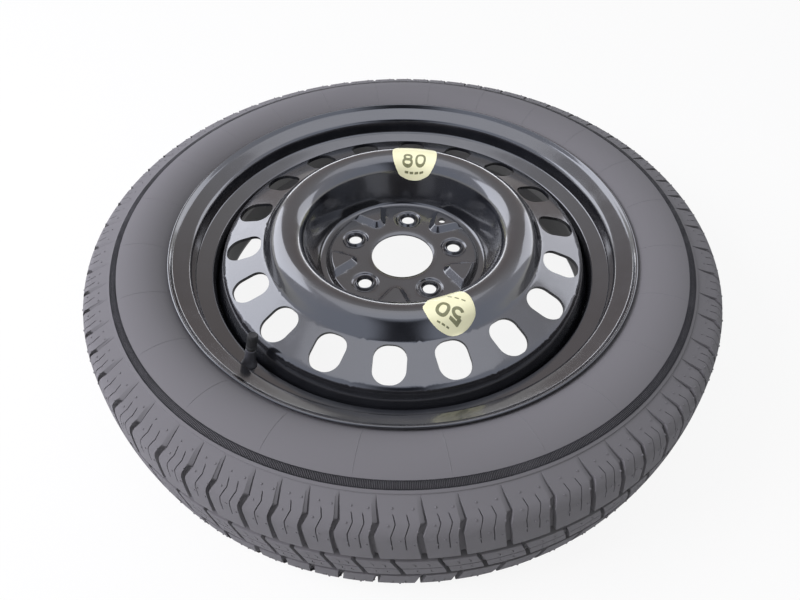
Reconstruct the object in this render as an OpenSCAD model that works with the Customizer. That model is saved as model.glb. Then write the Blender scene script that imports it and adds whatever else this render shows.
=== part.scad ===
// Space saver spare wheel lying on its inboard side, outboard face up.
// Z is the wheel axis and z = 0 is the face of the disc that seats on the hub.

/* [Rim] */
// Radius of the bead seat, on the tyre side
bead_seat_r = 218.3; // [214:0.1:222]
// Width between the flanges
rim_w = 101.6; // [94:0.2:110]
// Thickness of the rim sheet
rim_t = 2.8; // [2:0.1:3.5]
// Radial height of a flange, from its foot to where the lip curls out
flange_h = 15.3; // [13:0.1:17]
// Lean of a flange away from the tyre
flange_lean = 26.6; // [20:0.2:32]
// How far the crest of a lip stands out from the half width
lip_flare = 10.7; // [9.5:0.1:13]
// Angle of the lip past its curl
lip_angle = 57; // [50:1:65]
// Width of a bead seat
seat_w = 15.7; // [14:0.1:18]
// Depth of the well below the inner face of the bead seat
well_depth = 18.5; // [17:0.1:20]
// Slope of the ledge between bead seat and well
ledge_angle = 20; // [15:0.5:24]
// Radial width of the ledge
ledge_w = 15.5; // [15:0.1:15.8]
// Distance from the hub face to the middle plane of the rim
wheel_offset = 17.5; // [10:0.5:22]

/* [Disc] */
// Thickness of the disc sheet
disc_t = 3.5; // [3:0.1:4]
// Radius of the centre bore
bore_r = 33.05; // [28:0.05:36]
// Width of the rounded lip round the bore
bore_lip_w = 6.75; // [4:0.05:8]
// Depth of the rounded lip round the bore
bore_lip_drop = 1.5; // [1:0.1:1.8]
// Share of the well's radius that the hub plateau takes
plateau_share = 0.401; // [0.39:0.001:0.41]
// Depth of the groove round the plateau, below its top
moat_depth = 4; // [3:0.1:6]
// Share of the well's radius where the bowl wall rises, level with the plateau
bowl_share = 0.4589; // [0.45:0.0001:0.47]
// Angle of the bowl wall
bowl_angle = 72; // [70:0.5:76]
// Share of the well's radius at the middle of the crown
crown_share = 0.6117; // [0.6:0.0001:0.62]
// Height of the crown above the hub face
crown_top = 51.4; // [47:0.1:55]
// Rounding of the crown
crown_round = 20; // [17:0.1:21]
// Angle of the slope outside the crown
slope_angle = 52.1; // [48:0.1:56]
// Height of the vent ring where the crown's slope meets it
vent_top = 34; // [30:0.1:36]
// Slope of the vent ring
vent_angle = 15.5; // [13:0.5:18]
// Share of the well's radius at the outer edge of the vent ring
vent_edge_share = 0.9467; // [0.94:0.0001:0.955]
// Angle of the skirt outside the vent ring
skirt_angle = 66; // [62:0.5:70]
// Depth of the disc's flange below the hub face
flange_depth = 16; // [12:0.5:22]
// Gap between the disc's flange and the well it is pressed into
flange_gap = 0.1; // [0.05:0.05:0.3]

/* [Hub pads] */
// Number of wheel bolts, with a raised pad between each two
bolts = 5; // [4:1:5]
// Diameter of the bolt circle
bolt_circle = 114.3; // [108:0.1:120]
// Radius of a bolt hole
bolt_hole_r = 7.2; // [6:0.1:8]
// Turn of the first bolt hole round the axis
bolt_turn = 83.53; // [70:0.01:95]
// Height of a pad above the plateau
pad_h = 5.8; // [3:0.1:7]
// Radius where the inner ramp of a pad begins
pad_foot_r = 49; // [46:0.5:54]
// Half width of a pad's foot at the plateau's edge
pad_half_w = 22.5; // [19:0.5:25]
// Angle of a pad's ramps
pad_ramp = 44; // [38:1:55]
// Diameter of the locating hole in one pad
locator_d = 8.2; // [6:0.1:10]
// Radius at which the locating hole sits
locator_r = 66; // [63:0.5:68]
// Depth of the dish round a bolt seat, below the plateau
seat_dish = 1.6; // [0.8:0.1:2]

/* [Vents] */
// Number of vent holes
vents = 18; // [12:1:19]
// Place of a vent's middle between the inner and outer edge of the vent ring
vent_place = 0.492; // [0.48:0.001:0.51]
// Share of the vent ring's slope that the length of a vent takes
vent_fill = 0.855; // [0.7:0.005:0.87]
// Width of a vent
vent_w = 30.5; // [26:0.1:34]
// Corner rounding of a vent
vent_corner = 13.5; // [8:0.5:14]
// Turn of the first vent round the axis
vent_turn = 6.16; // [0:0.01:20]

/* [Tyre] */
// Outer radius of the tyre
tyre_r = 322; // [316:0.5:328]
// Section width of the tyre
tyre_w = 136; // [132:0.5:139]
// Share of the section's height at which a sidewall is widest
sidewall_share = 0.484; // [0.44:0.002:0.52]
// Rounding of a sidewall
sidewall_round = 50; // [48:0.5:54]
// Share of the section's height at the step line between sidewall and shoulder
step_share = 0.696; // [0.67:0.002:0.72]
// Height of the step line
step_h = 1.2; // [0.6:0.1:2]
// Slope of the shoulder from the step line
shoulder_angle = 18; // [15:0.5:21]
// Rounding of the shoulder
shoulder_round = 16; // [12:0.5:20]
// Radius of the tread's crown across its width
tread_round = 275; // [240:5:320]
// Thickness of the rubber at a sidewall
wall_t = 6.5; // [5:0.1:8]
// Thickness under the tread, grooves included
crown_t = 11.5; // [10.5:0.1:14]
// Distance of the main grooves from the middle plane
groove_at = 16.2; // [15:0.1:18]
// Width of a main groove
groove_w = 6; // [5:0.1:9]
// Depth of a main groove
groove_depth = 6; // [3:0.1:6.5]
// Width of the fine groove along the middle
sipe_w = 1.2; // [0.8:0.1:2]
// Width of a slot across the shoulder
slot_w = 4.6; // [3:0.1:6]
// Depth of a slot under the tread
slot_depth = 3; // [2:0.1:5]
// Azimuth at which the tread's order of pitches begins
tread_turn = -126.5; // [-180:0.1:180]
// Gap between the tyre's bead and the rim
bead_gap = 0.15; // [0.1:0.05:0.3]

/* [Valve] */
// Azimuth of the valve
valve_turn = -132; // [-180:1:180]
// Radius of the valve hole in the rim
valve_hole_r = 5.75; // [5.5:0.05:6]
// Radius of the valve's flare over the hole
flare_r = 7.3; // [7:0.1:7.4]
// Radius of the rubber stem at its top
stem_rubber_r = 5; // [4.8:0.1:5.4]
// Height of the rubber above the rim
rubber_h = 17.6; // [15:0.1:19]
// Radius of the valve's rubber head inside the rim
head_r = 7.6; // [7:0.1:7.8]
// Height of the brass stem above the rim
stem_h = 31; // [29:0.1:33]
// Radius of the brass stem
stem_r = 3.85; // [3.6:0.05:4]
// Bore radius of the stem, for the core
stem_bore_r = 2.8; // [2.7:0.05:2.9]
// Outer radius of the cap
cap_r = 4.9; // [4.7:0.1:5.2]
// Length of the cap
cap_l = 15.6; // [14:0.1:16.5]
// Radial gap between cap and stem
cap_gap = 0.2; // [0.15:0.05:0.3]
// Radius of the core's pin
pin_r = 0.7; // [0.6:0.05:0.8]
// Travel of the core's pin, with its spring's coils still apart
pin_travel = 1; // [0.8:0.1:1.2]

/* [Speed stickers] */
// Thickness of a sticker
sticker_t = 0.3; // [0.2:0.05:0.5]
// Width of a sticker round the crown
sticker_w = 50; // [44:1:54]
// Corner rounding of a sticker
sticker_corner = 12.5; // [8:0.5:16]
// Reach of the 80 sticker from the middle of the crown towards the bore
sticker_80_in = 23; // [20:0.1:25]
// Reach of the 80 sticker from the middle of the crown towards the rim
sticker_80_out = 13.6; // [11:0.1:16]
// Reach of the 50 sticker from the middle of the crown towards the bore
sticker_50_in = 16.5; // [14:0.1:19]
// Reach of the 50 sticker from the middle of the crown towards the rim
sticker_50_out = 23; // [20:0.1:25]
// Azimuth of the sticker that reads 80
sticker_80_turn = 83.5; // [60:0.5:100]
// Azimuth of the sticker that reads 50
sticker_50_turn = -69; // [-90:0.5:-50]

/* [Hidden] */
$fn = 96;
eps = 0.01;
least_bend = 0.3;
black_paint = "#202226";
rubber_black = "#3a3a3d";
brass = "#c9a85a";
sticker_yellow = "#f4f0a6";

// Plane geometry of bent sheets: a path is a list of [radius, height, bend radius]

function unit(v) = v / norm(v);
function turned(v) = [v[1], -v[0]];
function at(p) = [p[0], p[1]];
function leg(path, i) = unit(at(path[i + 1]) - at(path[i]));
function corner_turn(a, b) = atan2(a[0] * b[1] - a[1] * b[0], a * b);
function meet(p, a, q, b) =
    let (d = cos(a) * sin(b) - sin(a) * cos(b),
         s = ((q[0] - p[0]) * sin(b) - (q[1] - p[1]) * cos(b)) / d)
    p + s * [cos(a), sin(a)];

// The same path moved by t to its right hand, with its bends changed to suit
function shifted(path, t) =
    let (last = len(path) - 1)
    [for (i = [0:last])
        let (a = turned(leg(path, max(i - 1, 0))),
             b = turned(leg(path, min(i, last - 1))),
             p = at(path[i]) + t * (a + b) / (1 + a * b),
             s = corner_turn(a, b))
        [p[0], p[1], max(least_bend, path[i][2] + (s > 0 ? t : -t))]];

// Points round a corner between the legs a and b, at most step degrees apart
function bend(p, a, b, step = 11) =
    let (turn = corner_turn(a, b),
         r = p[2],
         side = sign(turn),
         centre = at(p) - a * r * tan(abs(turn) / 2) - turned(a) * r * side,
         start = atan2(turned(a)[1] * side, turned(a)[0] * side),
         steps = max(2, ceil(abs(turn) / step)))
    [for (k = [0:steps]) centre + r * [cos(start + turn * k / steps), sin(start + turn * k / steps)]];

function rounded(path) =
    let (last = len(path) - 1)
    [at(path[0]),
     for (i = [1:last - 1]) each bend(path[i], leg(path, i - 1), leg(path, i)),
     at(path[last])];

function reversed(list) = [for (i = [len(list) - 1:-1:0]) list[i]];
function arc(centre, r, from, to, steps) =
    [for (k = [0:steps]) centre + r * [cos(from + (to - from) * k / steps), sin(from + (to - from) * k / steps)]];

// Half round end of a sheet, from edge p to edge q
function round_end(p, q) =
    let (centre = (p + q) / 2, r = norm(p - q) / 2, from = atan2(p[1] - centre[1], p[0] - centre[0]))
    [for (k = [1:5]) centre + r * [cos(from + 30 * k), sin(from + 30 * k)]];

// Rim, as half a path from the crest of the outboard lip down to the middle plane

seat_taper = 5;
foot_inset = 1.2;
mid_z = -wheel_offset;
seat_in_r = bead_seat_r - rim_t;
foot = [seat_in_r + seat_w / 2 * tan(seat_taper), rim_w / 2 - foot_inset];
well_r = seat_in_r - well_depth;
curl = foot + flange_h * [1, tan(flange_lean)];
lip_crest = rim_w / 2 + lip_flare;
lip_edge_h = lip_crest - rim_t / 2 * (1 - cos(lip_angle));
lip_edge = [curl[0] + (lip_edge_h - curl[1]) / tan(lip_angle), lip_edge_h];
ledge_out = [foot[0] - seat_w * tan(seat_taper), foot[1] - seat_w];
ledge_in = ledge_out - ledge_w * [1, tan(ledge_angle)];
well_turn_h = ledge_in[1] - 6.4;
rim_half = [[lip_edge[0], lip_edge[1], 0], [curl[0], curl[1], 6], [foot[0], foot[1], 6],
            [ledge_out[0], ledge_out[1], 2], [ledge_in[0], ledge_in[1], 3], [well_r, well_turn_h, 8]];
rim_path = concat(rim_half, [for (p = reversed(rim_half)) [p[0], -p[1], p[2]]]);

module rim_section() {
    face = rounded(rim_path);
    back = rounded(shifted(rim_path, -rim_t));
    low_end = round_end(face[len(face) - 1], back[len(back) - 1]);
    top_end = round_end(back[0], face[0]);
    polygon(concat(face, low_end, reversed(back), top_end));
}

// Valve frame: its foot stands on the ledge, its axis square to the ledge

valve_foot_in = 8.1;
valve_foot = [ledge_out[0] - valve_foot_in, mid_z + ledge_out[1] - valve_foot_in * tan(ledge_angle)];

module on_valve() {
    rotate([0, 0, valve_turn]) translate([valve_foot[0], 0, valve_foot[1]]) rotate([0, -ledge_angle, 0]) children();
}

module rim() {
    color(black_paint) difference() {
        translate([0, 0, mid_z]) rotate_extrude() rim_section();
        on_valve() translate([0, 0, -3 * rim_t]) cylinder(r = valve_hole_r, h = 6 * rim_t);
    }
}

// Disc, as a path along its outboard face from the bore to the flange's end

plateau_r = plateau_share * well_r;
bowl_r = bowl_share * well_r;
crown_r = crown_share * well_r;
vent_edge_r = vent_edge_share * well_r;
plateau_z = disc_t;
moat_z = plateau_z - moat_depth;
moat_angle = 60;
vent_foot = [crown_r + crown_round * sin(slope_angle), crown_top - crown_round * (1 - cos(slope_angle))];
bowl_foot = [bowl_r, plateau_z];
moat_out = meet(bowl_foot, bowl_angle, [0, moat_z], 0);
crown_in = [crown_r - crown_round * sin(bowl_angle), crown_top - crown_round * (1 - cos(bowl_angle))];
bowl_rise = atan2(crown_in[1] - bowl_foot[1], crown_in[0] - bowl_foot[0]);
crown_peak = meet(crown_in, bowl_rise, vent_foot, -slope_angle);
vent_in = [vent_foot[0] + (vent_foot[1] - vent_top) / tan(slope_angle), vent_top];
vent_out = vent_in + (vent_edge_r - vent_in[0]) * [1, -tan(vent_angle)];
vent_r = vent_in[0] + vent_place * (vent_edge_r - vent_in[0]);
vent_l = vent_fill * (vent_edge_r - vent_in[0]) / cos(vent_angle);
flange_r = well_r - flange_gap;
skirt_end = [flange_r, vent_out[1] - (flange_r - vent_out[0]) * tan(skirt_angle)];
disc_path = [[bore_r + bore_lip_w, plateau_z, 0],
             [plateau_r, plateau_z, 2],
             [plateau_r + moat_depth / tan(moat_angle), moat_z, 3],
             [moat_out[0], moat_out[1], 5],
             [crown_peak[0], crown_peak[1], crown_round],
             [vent_in[0], vent_in[1], 4],
             [vent_out[0], vent_out[1], 8.2],
             [skirt_end[0], skirt_end[1], 6],
             [flange_r, -flange_depth, 0]];
bore_lip_round = (bore_lip_w * bore_lip_w + bore_lip_drop * bore_lip_drop) / (2 * bore_lip_drop);
bore_lip_angle = asin(bore_lip_w / bore_lip_round);

module disc_section() {
    lip = arc([bore_r + bore_lip_w, plateau_z - bore_lip_round], bore_lip_round, 90 + bore_lip_angle, 90, 4);
    back = rounded(shifted(disc_path, disc_t));
    polygon(concat(lip, rounded(disc_path), reversed(back), [[bore_r, 0]]));
}

// One pad between two bolts, with its walls moved in by inset
module pad_form(inset) {
    spread = atan2(pad_half_w, plateau_r - pad_foot_r);
    top = plateau_z + pad_h - inset;
    side = inset / sin(pad_ramp);
    far = 60;
    intersection() {
        translate([0, 0, -1]) cylinder(r = plateau_r - 0.7 - inset, h = top + 1);
        for_plane(pad_foot_r + side, 0, 0) ramp_block(far);
        for_plane(pad_foot_r - 2 + side / sin(spread), spread, 1) ramp_block(far);
        for_plane(pad_foot_r - 2 + side / sin(spread), -spread, -1) ramp_block(far);
    }
}

// Half space behind a ramp whose foot is the line through (x, 0) on the plateau
module for_plane(x, spread, side) {
    heading = side == 0 ? 0 : spread - side * 90;
    translate([x, 0, plateau_z]) rotate([0, 0, heading]) rotate([0, -pad_ramp, 0]) children();
}

module ramp_block(far) {
    translate([0, -far, -far]) cube([far, 2 * far, 2 * far]);
}

module vent_outline() {
    l = vent_l / 2 - vent_corner;
    w = vent_w / 2 - vent_corner;
    square([2 * l, vent_w], center = true);
    square([vent_l, 2 * w], center = true);
    for (x = [-l, l], y = [-w, w]) translate([x, y]) circle(r = vent_corner);
}

module bolt_seats() {
    seat_h = 1.2;
    dish = 14;
    lip_r = bolt_hole_r + 2.7;
    cone_r = bolt_hole_r + 1.6;
    top = plateau_z + seat_h;
    for (k = [0:bolts - 1]) rotate([0, 0, bolt_turn + k * 360 / bolts]) translate([bolt_circle / 2, 0, 0]) {
        difference() {
            translate([0, 0, plateau_z - seat_dish]) cylinder(r = dish, h = pad_h);
            translate([0, 0, -eps]) cylinder(r = lip_r, h = top + eps);
        }
        translate([0, 0, -1]) cylinder(r = bolt_hole_r, h = pad_h + disc_t);
        translate([0, 0, top - (cone_r - bolt_hole_r) / tan(30)])
            cylinder(r1 = bolt_hole_r, r2 = cone_r + tan(30), h = (cone_r - bolt_hole_r) / tan(30) + 1);
    }
}

module bolt_bosses() {
    for (k = [0:bolts - 1]) rotate([0, 0, bolt_turn + k * 360 / bolts])
        translate([bolt_circle / 2, 0, plateau_z / 2]) cylinder(r = bolt_hole_r + 2.7, h = plateau_z / 2 + 1.2);
}

module disc() {
    pad_step = 360 / bolts;
    slope_z = vent_in[1] - (vent_r - vent_in[0]) * tan(vent_angle);
    color(black_paint) difference() {
        union() {
            rotate_extrude() disc_section();
            bolt_bosses();
            for (k = [0:bolts - 1]) rotate([0, 0, bolt_turn + (k - 0.5) * pad_step]) pad_form(0);
        }
        for (k = [0:bolts - 1]) rotate([0, 0, bolt_turn + (k - 0.5) * pad_step]) pad_form(disc_t);
        bolt_seats();
        rotate([0, 0, bolt_turn - pad_step / 2]) translate([locator_r, 0, 0])
            cylinder(d = locator_d, h = plateau_z + pad_h + 1);
        for (k = [0:vents - 1]) rotate([0, 0, vent_turn + k * 360 / vents])
            translate([vent_r, 0, slope_z]) rotate([0, vent_angle, 0])
                linear_extrude(3 * disc_t, center = true) vent_outline();
    }
}

module disc_welds() {
    beads = 8;
    bead_angle = 13;
    leg_l = 1.3 * disc_t;
    color("#2c2c30") for (k = [0:beads - 1]) rotate([0, 0, k * 360 / beads])
        rotate_extrude(angle = bead_angle)
            polygon([[flange_r - disc_t, -flange_depth], [well_r, -flange_depth], [well_r, -flange_depth - leg_l]]);
}

// Tyre, as half a section from the bead's toe to the middle plane

bead_w = 14;
bead_line = shifted(rim_half, -rim_t - bead_gap);
seat_slope = (bead_line[2][0] - bead_line[3][0]) / (bead_line[2][1] - bead_line[3][1]);
toe_h = bead_line[2][1] - bead_w;
toe = [bead_line[2][0] - bead_w * seat_slope, toe_h];
half_w = tyre_w / 2;
section_h = tyre_r - bead_seat_r;
sidewall_r = bead_seat_r + sidewall_share * section_h;
step_r = bead_seat_r + step_share * section_h;
sidewall_c = [sidewall_r, half_w - sidewall_round];
edge_r = bead_line[1][0] + 6.6;
edge_a = acos((edge_r - sidewall_r) / sidewall_round);
step_a = acos((step_r - sidewall_r) / sidewall_round);
step_top = sidewall_c + sidewall_round * [cos(step_a), sin(step_a)];
step_foot = step_top + [0.5, -step_h];
function tread_at(h) = tyre_r - h * h / (2 * tread_round);
shoulder_h = step_foot[1] - (tyre_r - 5 - step_foot[0]) * tan(shoulder_angle);
tread_end_h = shoulder_h - 0.65 * shoulder_round;
shoulder_corner = [tyre_r - 5, shoulder_h, shoulder_round];
tread_end = [tread_at(tread_end_h), tread_end_h];

function groove(centre, w, depth) =
    [[tread_at(centre + w / 2), centre + w / 2],
     [tread_at(centre) - depth, centre + w / 2 - w / 6],
     [tread_at(centre) - depth, centre - w / 2 + w / 6],
     [tread_at(centre - w / 2), centre - w / 2]];

half_outer = concat(
    [toe],
    bend([bead_line[2][0], bead_line[2][1], 3], unit(at(bead_line[2]) - toe),
         unit(at(bead_line[1]) - at(bead_line[2]))),
    [at(bead_line[1])],
    arc(sidewall_c, sidewall_round, edge_a, step_a, 9),
    [step_foot],
    bend(shoulder_corner, unit(at(shoulder_corner) - step_foot), unit(tread_end - at(shoulder_corner)), 20),
    [tread_end],
    groove(groove_at, groove_w, groove_depth),
    [[tyre_r, sipe_w / 2], [tyre_r - groove_depth / 2, sipe_w / 2]]);
cavity_h = half_w - wall_t;
half_inner = rounded([
    [tyre_r - crown_t, 0, 0],
    [tyre_r - crown_t - 1.5, shoulder_h - 0.07 * section_h, 0.135 * section_h],
    [sidewall_r + 0.14 * section_h, cavity_h, 0.193 * section_h],
    [sidewall_r - 0.207 * section_h, cavity_h, 0.24 * section_h],
    [toe[0] + 11.3, toe_h + 3.5, 8],
    [toe[0], toe[1], 0]]);

module tyre_section() {
    low_outer = [for (p = reversed(half_outer)) [p[0], -p[1]]];
    low_inner = [for (i = [len(half_inner) - 2:-1:1]) [half_inner[i][0], -half_inner[i][1]]];
    upper_inner = [for (i = [1:len(half_inner) - 2]) half_inner[i]];
    polygon(concat(half_outer, low_outer, low_inner, upper_inner));
}

// The blocks of the tread come in three lengths, in one order that is repeated and then closed

pitch_weights = [0.811, 1, 1.2];
pitch_unit = [1, 0, 1, 0, 0, 0, 1, 2, 1, 2, 2, 2];
pitch_order = [for (k = [1:5]) each pitch_unit, each [1, 0, 1, 0, 1, 2, 1, 2]];
pitch_sums = [for (i = 0, s = 0; i <= len(pitch_order); s = s + (i < len(pitch_order) ? pitch_weights[pitch_order[i]] : 0),
              i = i + 1) s];
function pitch_turn(i) = tread_turn + 360 * pitch_sums[i] / pitch_sums[len(pitch_order)];

// A slot's floor sinks from the shoulder's face and runs under the tread into the main groove
module slot_profile() {
    down = [cos(shoulder_angle), -sin(shoulder_angle)];
    out = [sin(shoulder_angle), cos(shoulder_angle)];
    start = step_foot + 4 * down + 0.5 * out;
    polygon([start, step_foot + 16 * down - slot_depth / 2 * out, [tread_at(tread_end_h) - slot_depth, shoulder_h - 6],
             [tread_at(groove_at) - slot_depth, groove_at], [tyre_r + 2, groove_at],
             [tyre_r + 2, step_foot[1]], start + 4 * out]);
}

module shoulder_slots() {
    for (k = [0:len(pitch_order) - 1], side = [0, 1])
        mirror([0, 0, side]) rotate([0, 0, pitch_turn(k)]) rotate([90, 0, 0])
            linear_extrude(slot_w, center = true) slot_profile();
}

module tyre() {
    color(rubber_black) translate([0, 0, mid_z]) difference() {
        rotate_extrude() tyre_section();
        shoulder_slots();
    }
}

// Valve pieces, drawn along the valve's own axis with 0 on the ledge

head_l = 11;
body_gap = 0.15;
bore_step_h = 12;
lower_bore_r = 1.7;
barrel_top = stem_h - 1.2;
barrel_low = 19;
barrel_r = stem_bore_r - 0.15;
tip_h = barrel_top + 0.8;

module valve_body() {
    top = rubber_h;
    groove_r = valve_hole_r - 0.1;
    under = -rim_t - body_gap;
    color(rubber_black) on_valve() rotate_extrude() polygon([
        [stem_r, -head_l], [head_r - 1.2, -head_l], [head_r, under - 3.5], [groove_r + 0.7, under],
        [groove_r, under], [groove_r, body_gap], [flare_r, body_gap], [flare_r - 0.4, 1.6],
        [stem_rubber_r + 0.8, 4], [stem_rubber_r, top - 0.8], [stem_rubber_r - 0.8, top], [stem_r, top]]);
}

module valve_stem() {
    color(brass) on_valve() difference() {
        translate([0, 0, -head_l]) cylinder(r = stem_r, h = stem_h + head_l);
        translate([0, 0, -head_l - 1]) cylinder(r = lower_bore_r, h = stem_h + head_l);
        translate([0, 0, bore_step_h]) cylinder(r = stem_bore_r, h = stem_h);
        translate([0, 0, bore_step_h - 1.6]) cylinder(r1 = lower_bore_r, r2 = stem_bore_r, h = 1.61);
    }
}

module valve_core_barrel() {
    seat_r = pin_r + 0.35;
    color("#d8c27a") on_valve() difference() {
        union() {
            translate([0, 0, barrel_low + 2.2]) cylinder(r = barrel_r, h = barrel_top - barrel_low - 2.2);
            translate([0, 0, barrel_low - 4]) cylinder(r = barrel_r - 0.9, h = 8);
        }
        translate([0, 0, barrel_low - 5]) cylinder(r = seat_r, h = 20);
        translate([0, 0, barrel_low + 3]) cylinder(r = pin_r + 1.1, h = 20);
    }
}

module valve_core_barrel_seal() {
    color("#b23a2e") on_valve() translate([0, 0, barrel_low]) difference() {
        cylinder(r = stem_bore_r - 0.05, h = 2.2);
        translate([0, 0, -1]) cylinder(r = barrel_r - 0.9, h = 5);
    }
}

pin_head_h = tip_h - 3.2;

module valve_core_pin() {
    color(brass) on_valve() {
        translate([0, 0, bore_step_h - 0.6]) cylinder(r = pin_r, h = tip_h - bore_step_h + 0.6);
        translate([0, 0, pin_head_h]) cylinder(r = pin_r + 0.85, h = 0.7);
    }
}

module valve_core_cup_seal() {
    color("#2a2a2c") on_valve() translate([0, 0, barrel_low - 6.05]) difference() {
        cylinder(r = barrel_r - 0.9, h = 2);
        translate([0, 0, -1]) cylinder(r = pin_r, h = 5);
    }
}

// The spring stands between the barrel's inner step and the pin's collar
module valve_core_spring() {
    wire = 0.16;
    coil_r = pin_r + 0.72;
    low = barrel_low + 3 + wire;
    high = pin_head_h - wire;
    turns = 5;
    steps = 12;
    sides = 6;
    count = turns * steps;
    rings = [for (i = [0:count]) let (a = 360 * i / steps, z = low + (high - low) * i / count)
        [for (s = [0:sides - 1]) let (b = 360 * s / sides)
            [(coil_r + wire * cos(b)) * cos(a), (coil_r + wire * cos(b)) * sin(a), z + wire * sin(b)]]];
    points = [for (ring = rings) each ring];
    walls = [for (i = [0:count - 1], s = [0:sides - 1]) let (n = (s + 1) % sides)
        [i * sides + s, i * sides + n, (i + 1) * sides + n, (i + 1) * sides + s]];
    ends = [[for (s = [sides - 1:-1:0]) s], [for (s = [0:sides - 1]) count * sides + s]];
    color("#c8c8cc") on_valve() polyhedron(points, concat(walls, ends));
}

cap_low = rubber_h + 0.8;
cap_roof = stem_h + 1.3;

module valve_cap() {
    top = cap_low + cap_l;
    color("#1d1d1f") on_valve() difference() {
        union() {
            translate([0, 0, cap_low]) cylinder(r = cap_r, h = cap_l - 0.8);
            translate([0, 0, top - 0.8]) cylinder(r1 = cap_r, r2 = cap_r - 0.8, h = 0.8);
        }
        translate([0, 0, cap_low - 1]) cylinder(r = stem_r + cap_gap, h = cap_roof - cap_low + 1);
    }
}

module valve_cap_gasket() {
    color("#6a2d26") on_valve() translate([0, 0, stem_h + 0.3])
        cylinder(r = stem_r - 0.1, h = cap_roof - stem_h - 0.3);
}

// A sticker lies on the crown between two radii, with its outline cut from above

sticker_gap = 0.05;

module crown_strip(from_r, to_r) {
    face = rounded(shifted(disc_path, -sticker_gap));
    skin = rounded(shifted(disc_path, -sticker_gap - sticker_t));
    intersection() {
        polygon(concat(face, reversed(skin)));
        translate([from_r, 0]) square([to_r - from_r, crown_top + 2]);
    }
}

module sticker(turn, from_r, to_r) {
    mid_r = (from_r + to_r) / 2;
    l = (to_r - from_r) / 2 - sticker_corner;
    w = sticker_w / 2 - sticker_corner;
    color(sticker_yellow) intersection() {
        rotate([0, 0, turn - 18]) rotate_extrude(angle = 36) crown_strip(from_r, to_r);
        rotate([0, 0, turn]) translate([mid_r, 0, 0]) linear_extrude(crown_top + 2) {
            square([2 * l, sticker_w], center = true);
            square([to_r - from_r, 2 * w], center = true);
            for (x = [-l, l], y = [-w, w]) translate([x, y]) circle(r = sticker_corner);
        }
    }
}

module speed_sticker_80() {
    sticker(sticker_80_turn, crown_r - sticker_80_in, crown_r + sticker_80_out);
}

module speed_sticker_50() {
    sticker(sticker_50_turn, crown_r - sticker_50_in, crown_r + sticker_50_out);
}

tyre();
rim();
disc();
disc_welds();
valve_body();
valve_stem();
valve_core_barrel();
valve_core_barrel_seal();
valve_core_pin();
valve_core_cup_seal();
valve_core_spring();
valve_cap();
valve_cap_gasket();
speed_sticker_80();
speed_sticker_50();
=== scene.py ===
"""Looks of the space saver spare wheel: enamelled steel, moulded rubber, valve, stickers and the studio."""

import math

import bmesh
import bpy
import numpy as np
from bpy.props import FloatProperty, FloatVectorProperty, PointerProperty
from mathutils import Matrix, Vector


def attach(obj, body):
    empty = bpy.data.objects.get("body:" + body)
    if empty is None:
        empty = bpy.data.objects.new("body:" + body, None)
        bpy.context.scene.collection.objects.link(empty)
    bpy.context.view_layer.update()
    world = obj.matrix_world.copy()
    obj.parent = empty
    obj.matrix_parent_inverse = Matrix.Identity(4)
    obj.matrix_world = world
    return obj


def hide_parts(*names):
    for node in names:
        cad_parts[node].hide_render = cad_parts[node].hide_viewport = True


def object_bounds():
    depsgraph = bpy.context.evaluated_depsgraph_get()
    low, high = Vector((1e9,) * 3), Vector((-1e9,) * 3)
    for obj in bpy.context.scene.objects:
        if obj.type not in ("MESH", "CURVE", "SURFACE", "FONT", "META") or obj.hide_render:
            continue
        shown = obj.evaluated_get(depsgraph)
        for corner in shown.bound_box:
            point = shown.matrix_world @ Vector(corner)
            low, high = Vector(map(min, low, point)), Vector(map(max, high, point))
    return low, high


bl_info = {
    "name": "Spare wheel finishes",
    "version": (1, 1, 0),
    "blender": (4, 5, 0),
    "location": "View3D > Sidebar > Spare wheel",
    "description": "Dresses the space saver spare wheel in enamel, rubber, brass and vinyl",
    "category": "Object",
}

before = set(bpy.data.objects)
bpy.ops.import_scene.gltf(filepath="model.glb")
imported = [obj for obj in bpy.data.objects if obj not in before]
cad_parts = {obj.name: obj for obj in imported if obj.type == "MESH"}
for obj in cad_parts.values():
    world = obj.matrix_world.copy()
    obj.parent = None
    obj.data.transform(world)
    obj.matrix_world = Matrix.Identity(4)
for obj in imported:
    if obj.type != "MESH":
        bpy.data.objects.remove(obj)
CAD_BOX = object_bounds()
MM = 0.001
COLUMNS = 360


# Colours and nodes

def linear(hex_colour):
    """Turns an sRGB hex value into linear red, green, blue and a full alpha."""
    channels = [int(hex_colour[i:i + 2], 16) / 255 for i in (1, 3, 5)]
    low = [c / 12.92 if c <= 0.04045 else ((c + 0.055) / 1.055) ** 2.4 for c in channels]
    return (*low, 1.0)


def grey(value):
    return (value, value, value, 1.0)


def scaled(colour, factor, lift=0.0):
    """A linear colour made brighter or darker, with a little white lifted in."""
    return (*[min(1.0, c * factor + lift) for c in colour[:3]], 1.0)


def add_node(tree, kind, links=None, stops=(), **settings):
    """Adds a node, sets its properties, input values and ramp stops, and links sockets into its inputs."""
    made = tree.nodes.new(kind)
    for key, value in settings.items():
        if hasattr(made, key):
            setattr(made, key, value)
        else:
            made.inputs[key.replace("_", " ")].default_value = value
    for k, (place, colour) in enumerate(stops):
        spots = made.color_ramp.elements
        spot = spots[k] if k < 2 else spots.new(place)
        spot.position, spot.color = place, colour
    for name, socket in (links or {}).items():
        tree.links.new(socket, made.inputs[name])
    return made


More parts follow.
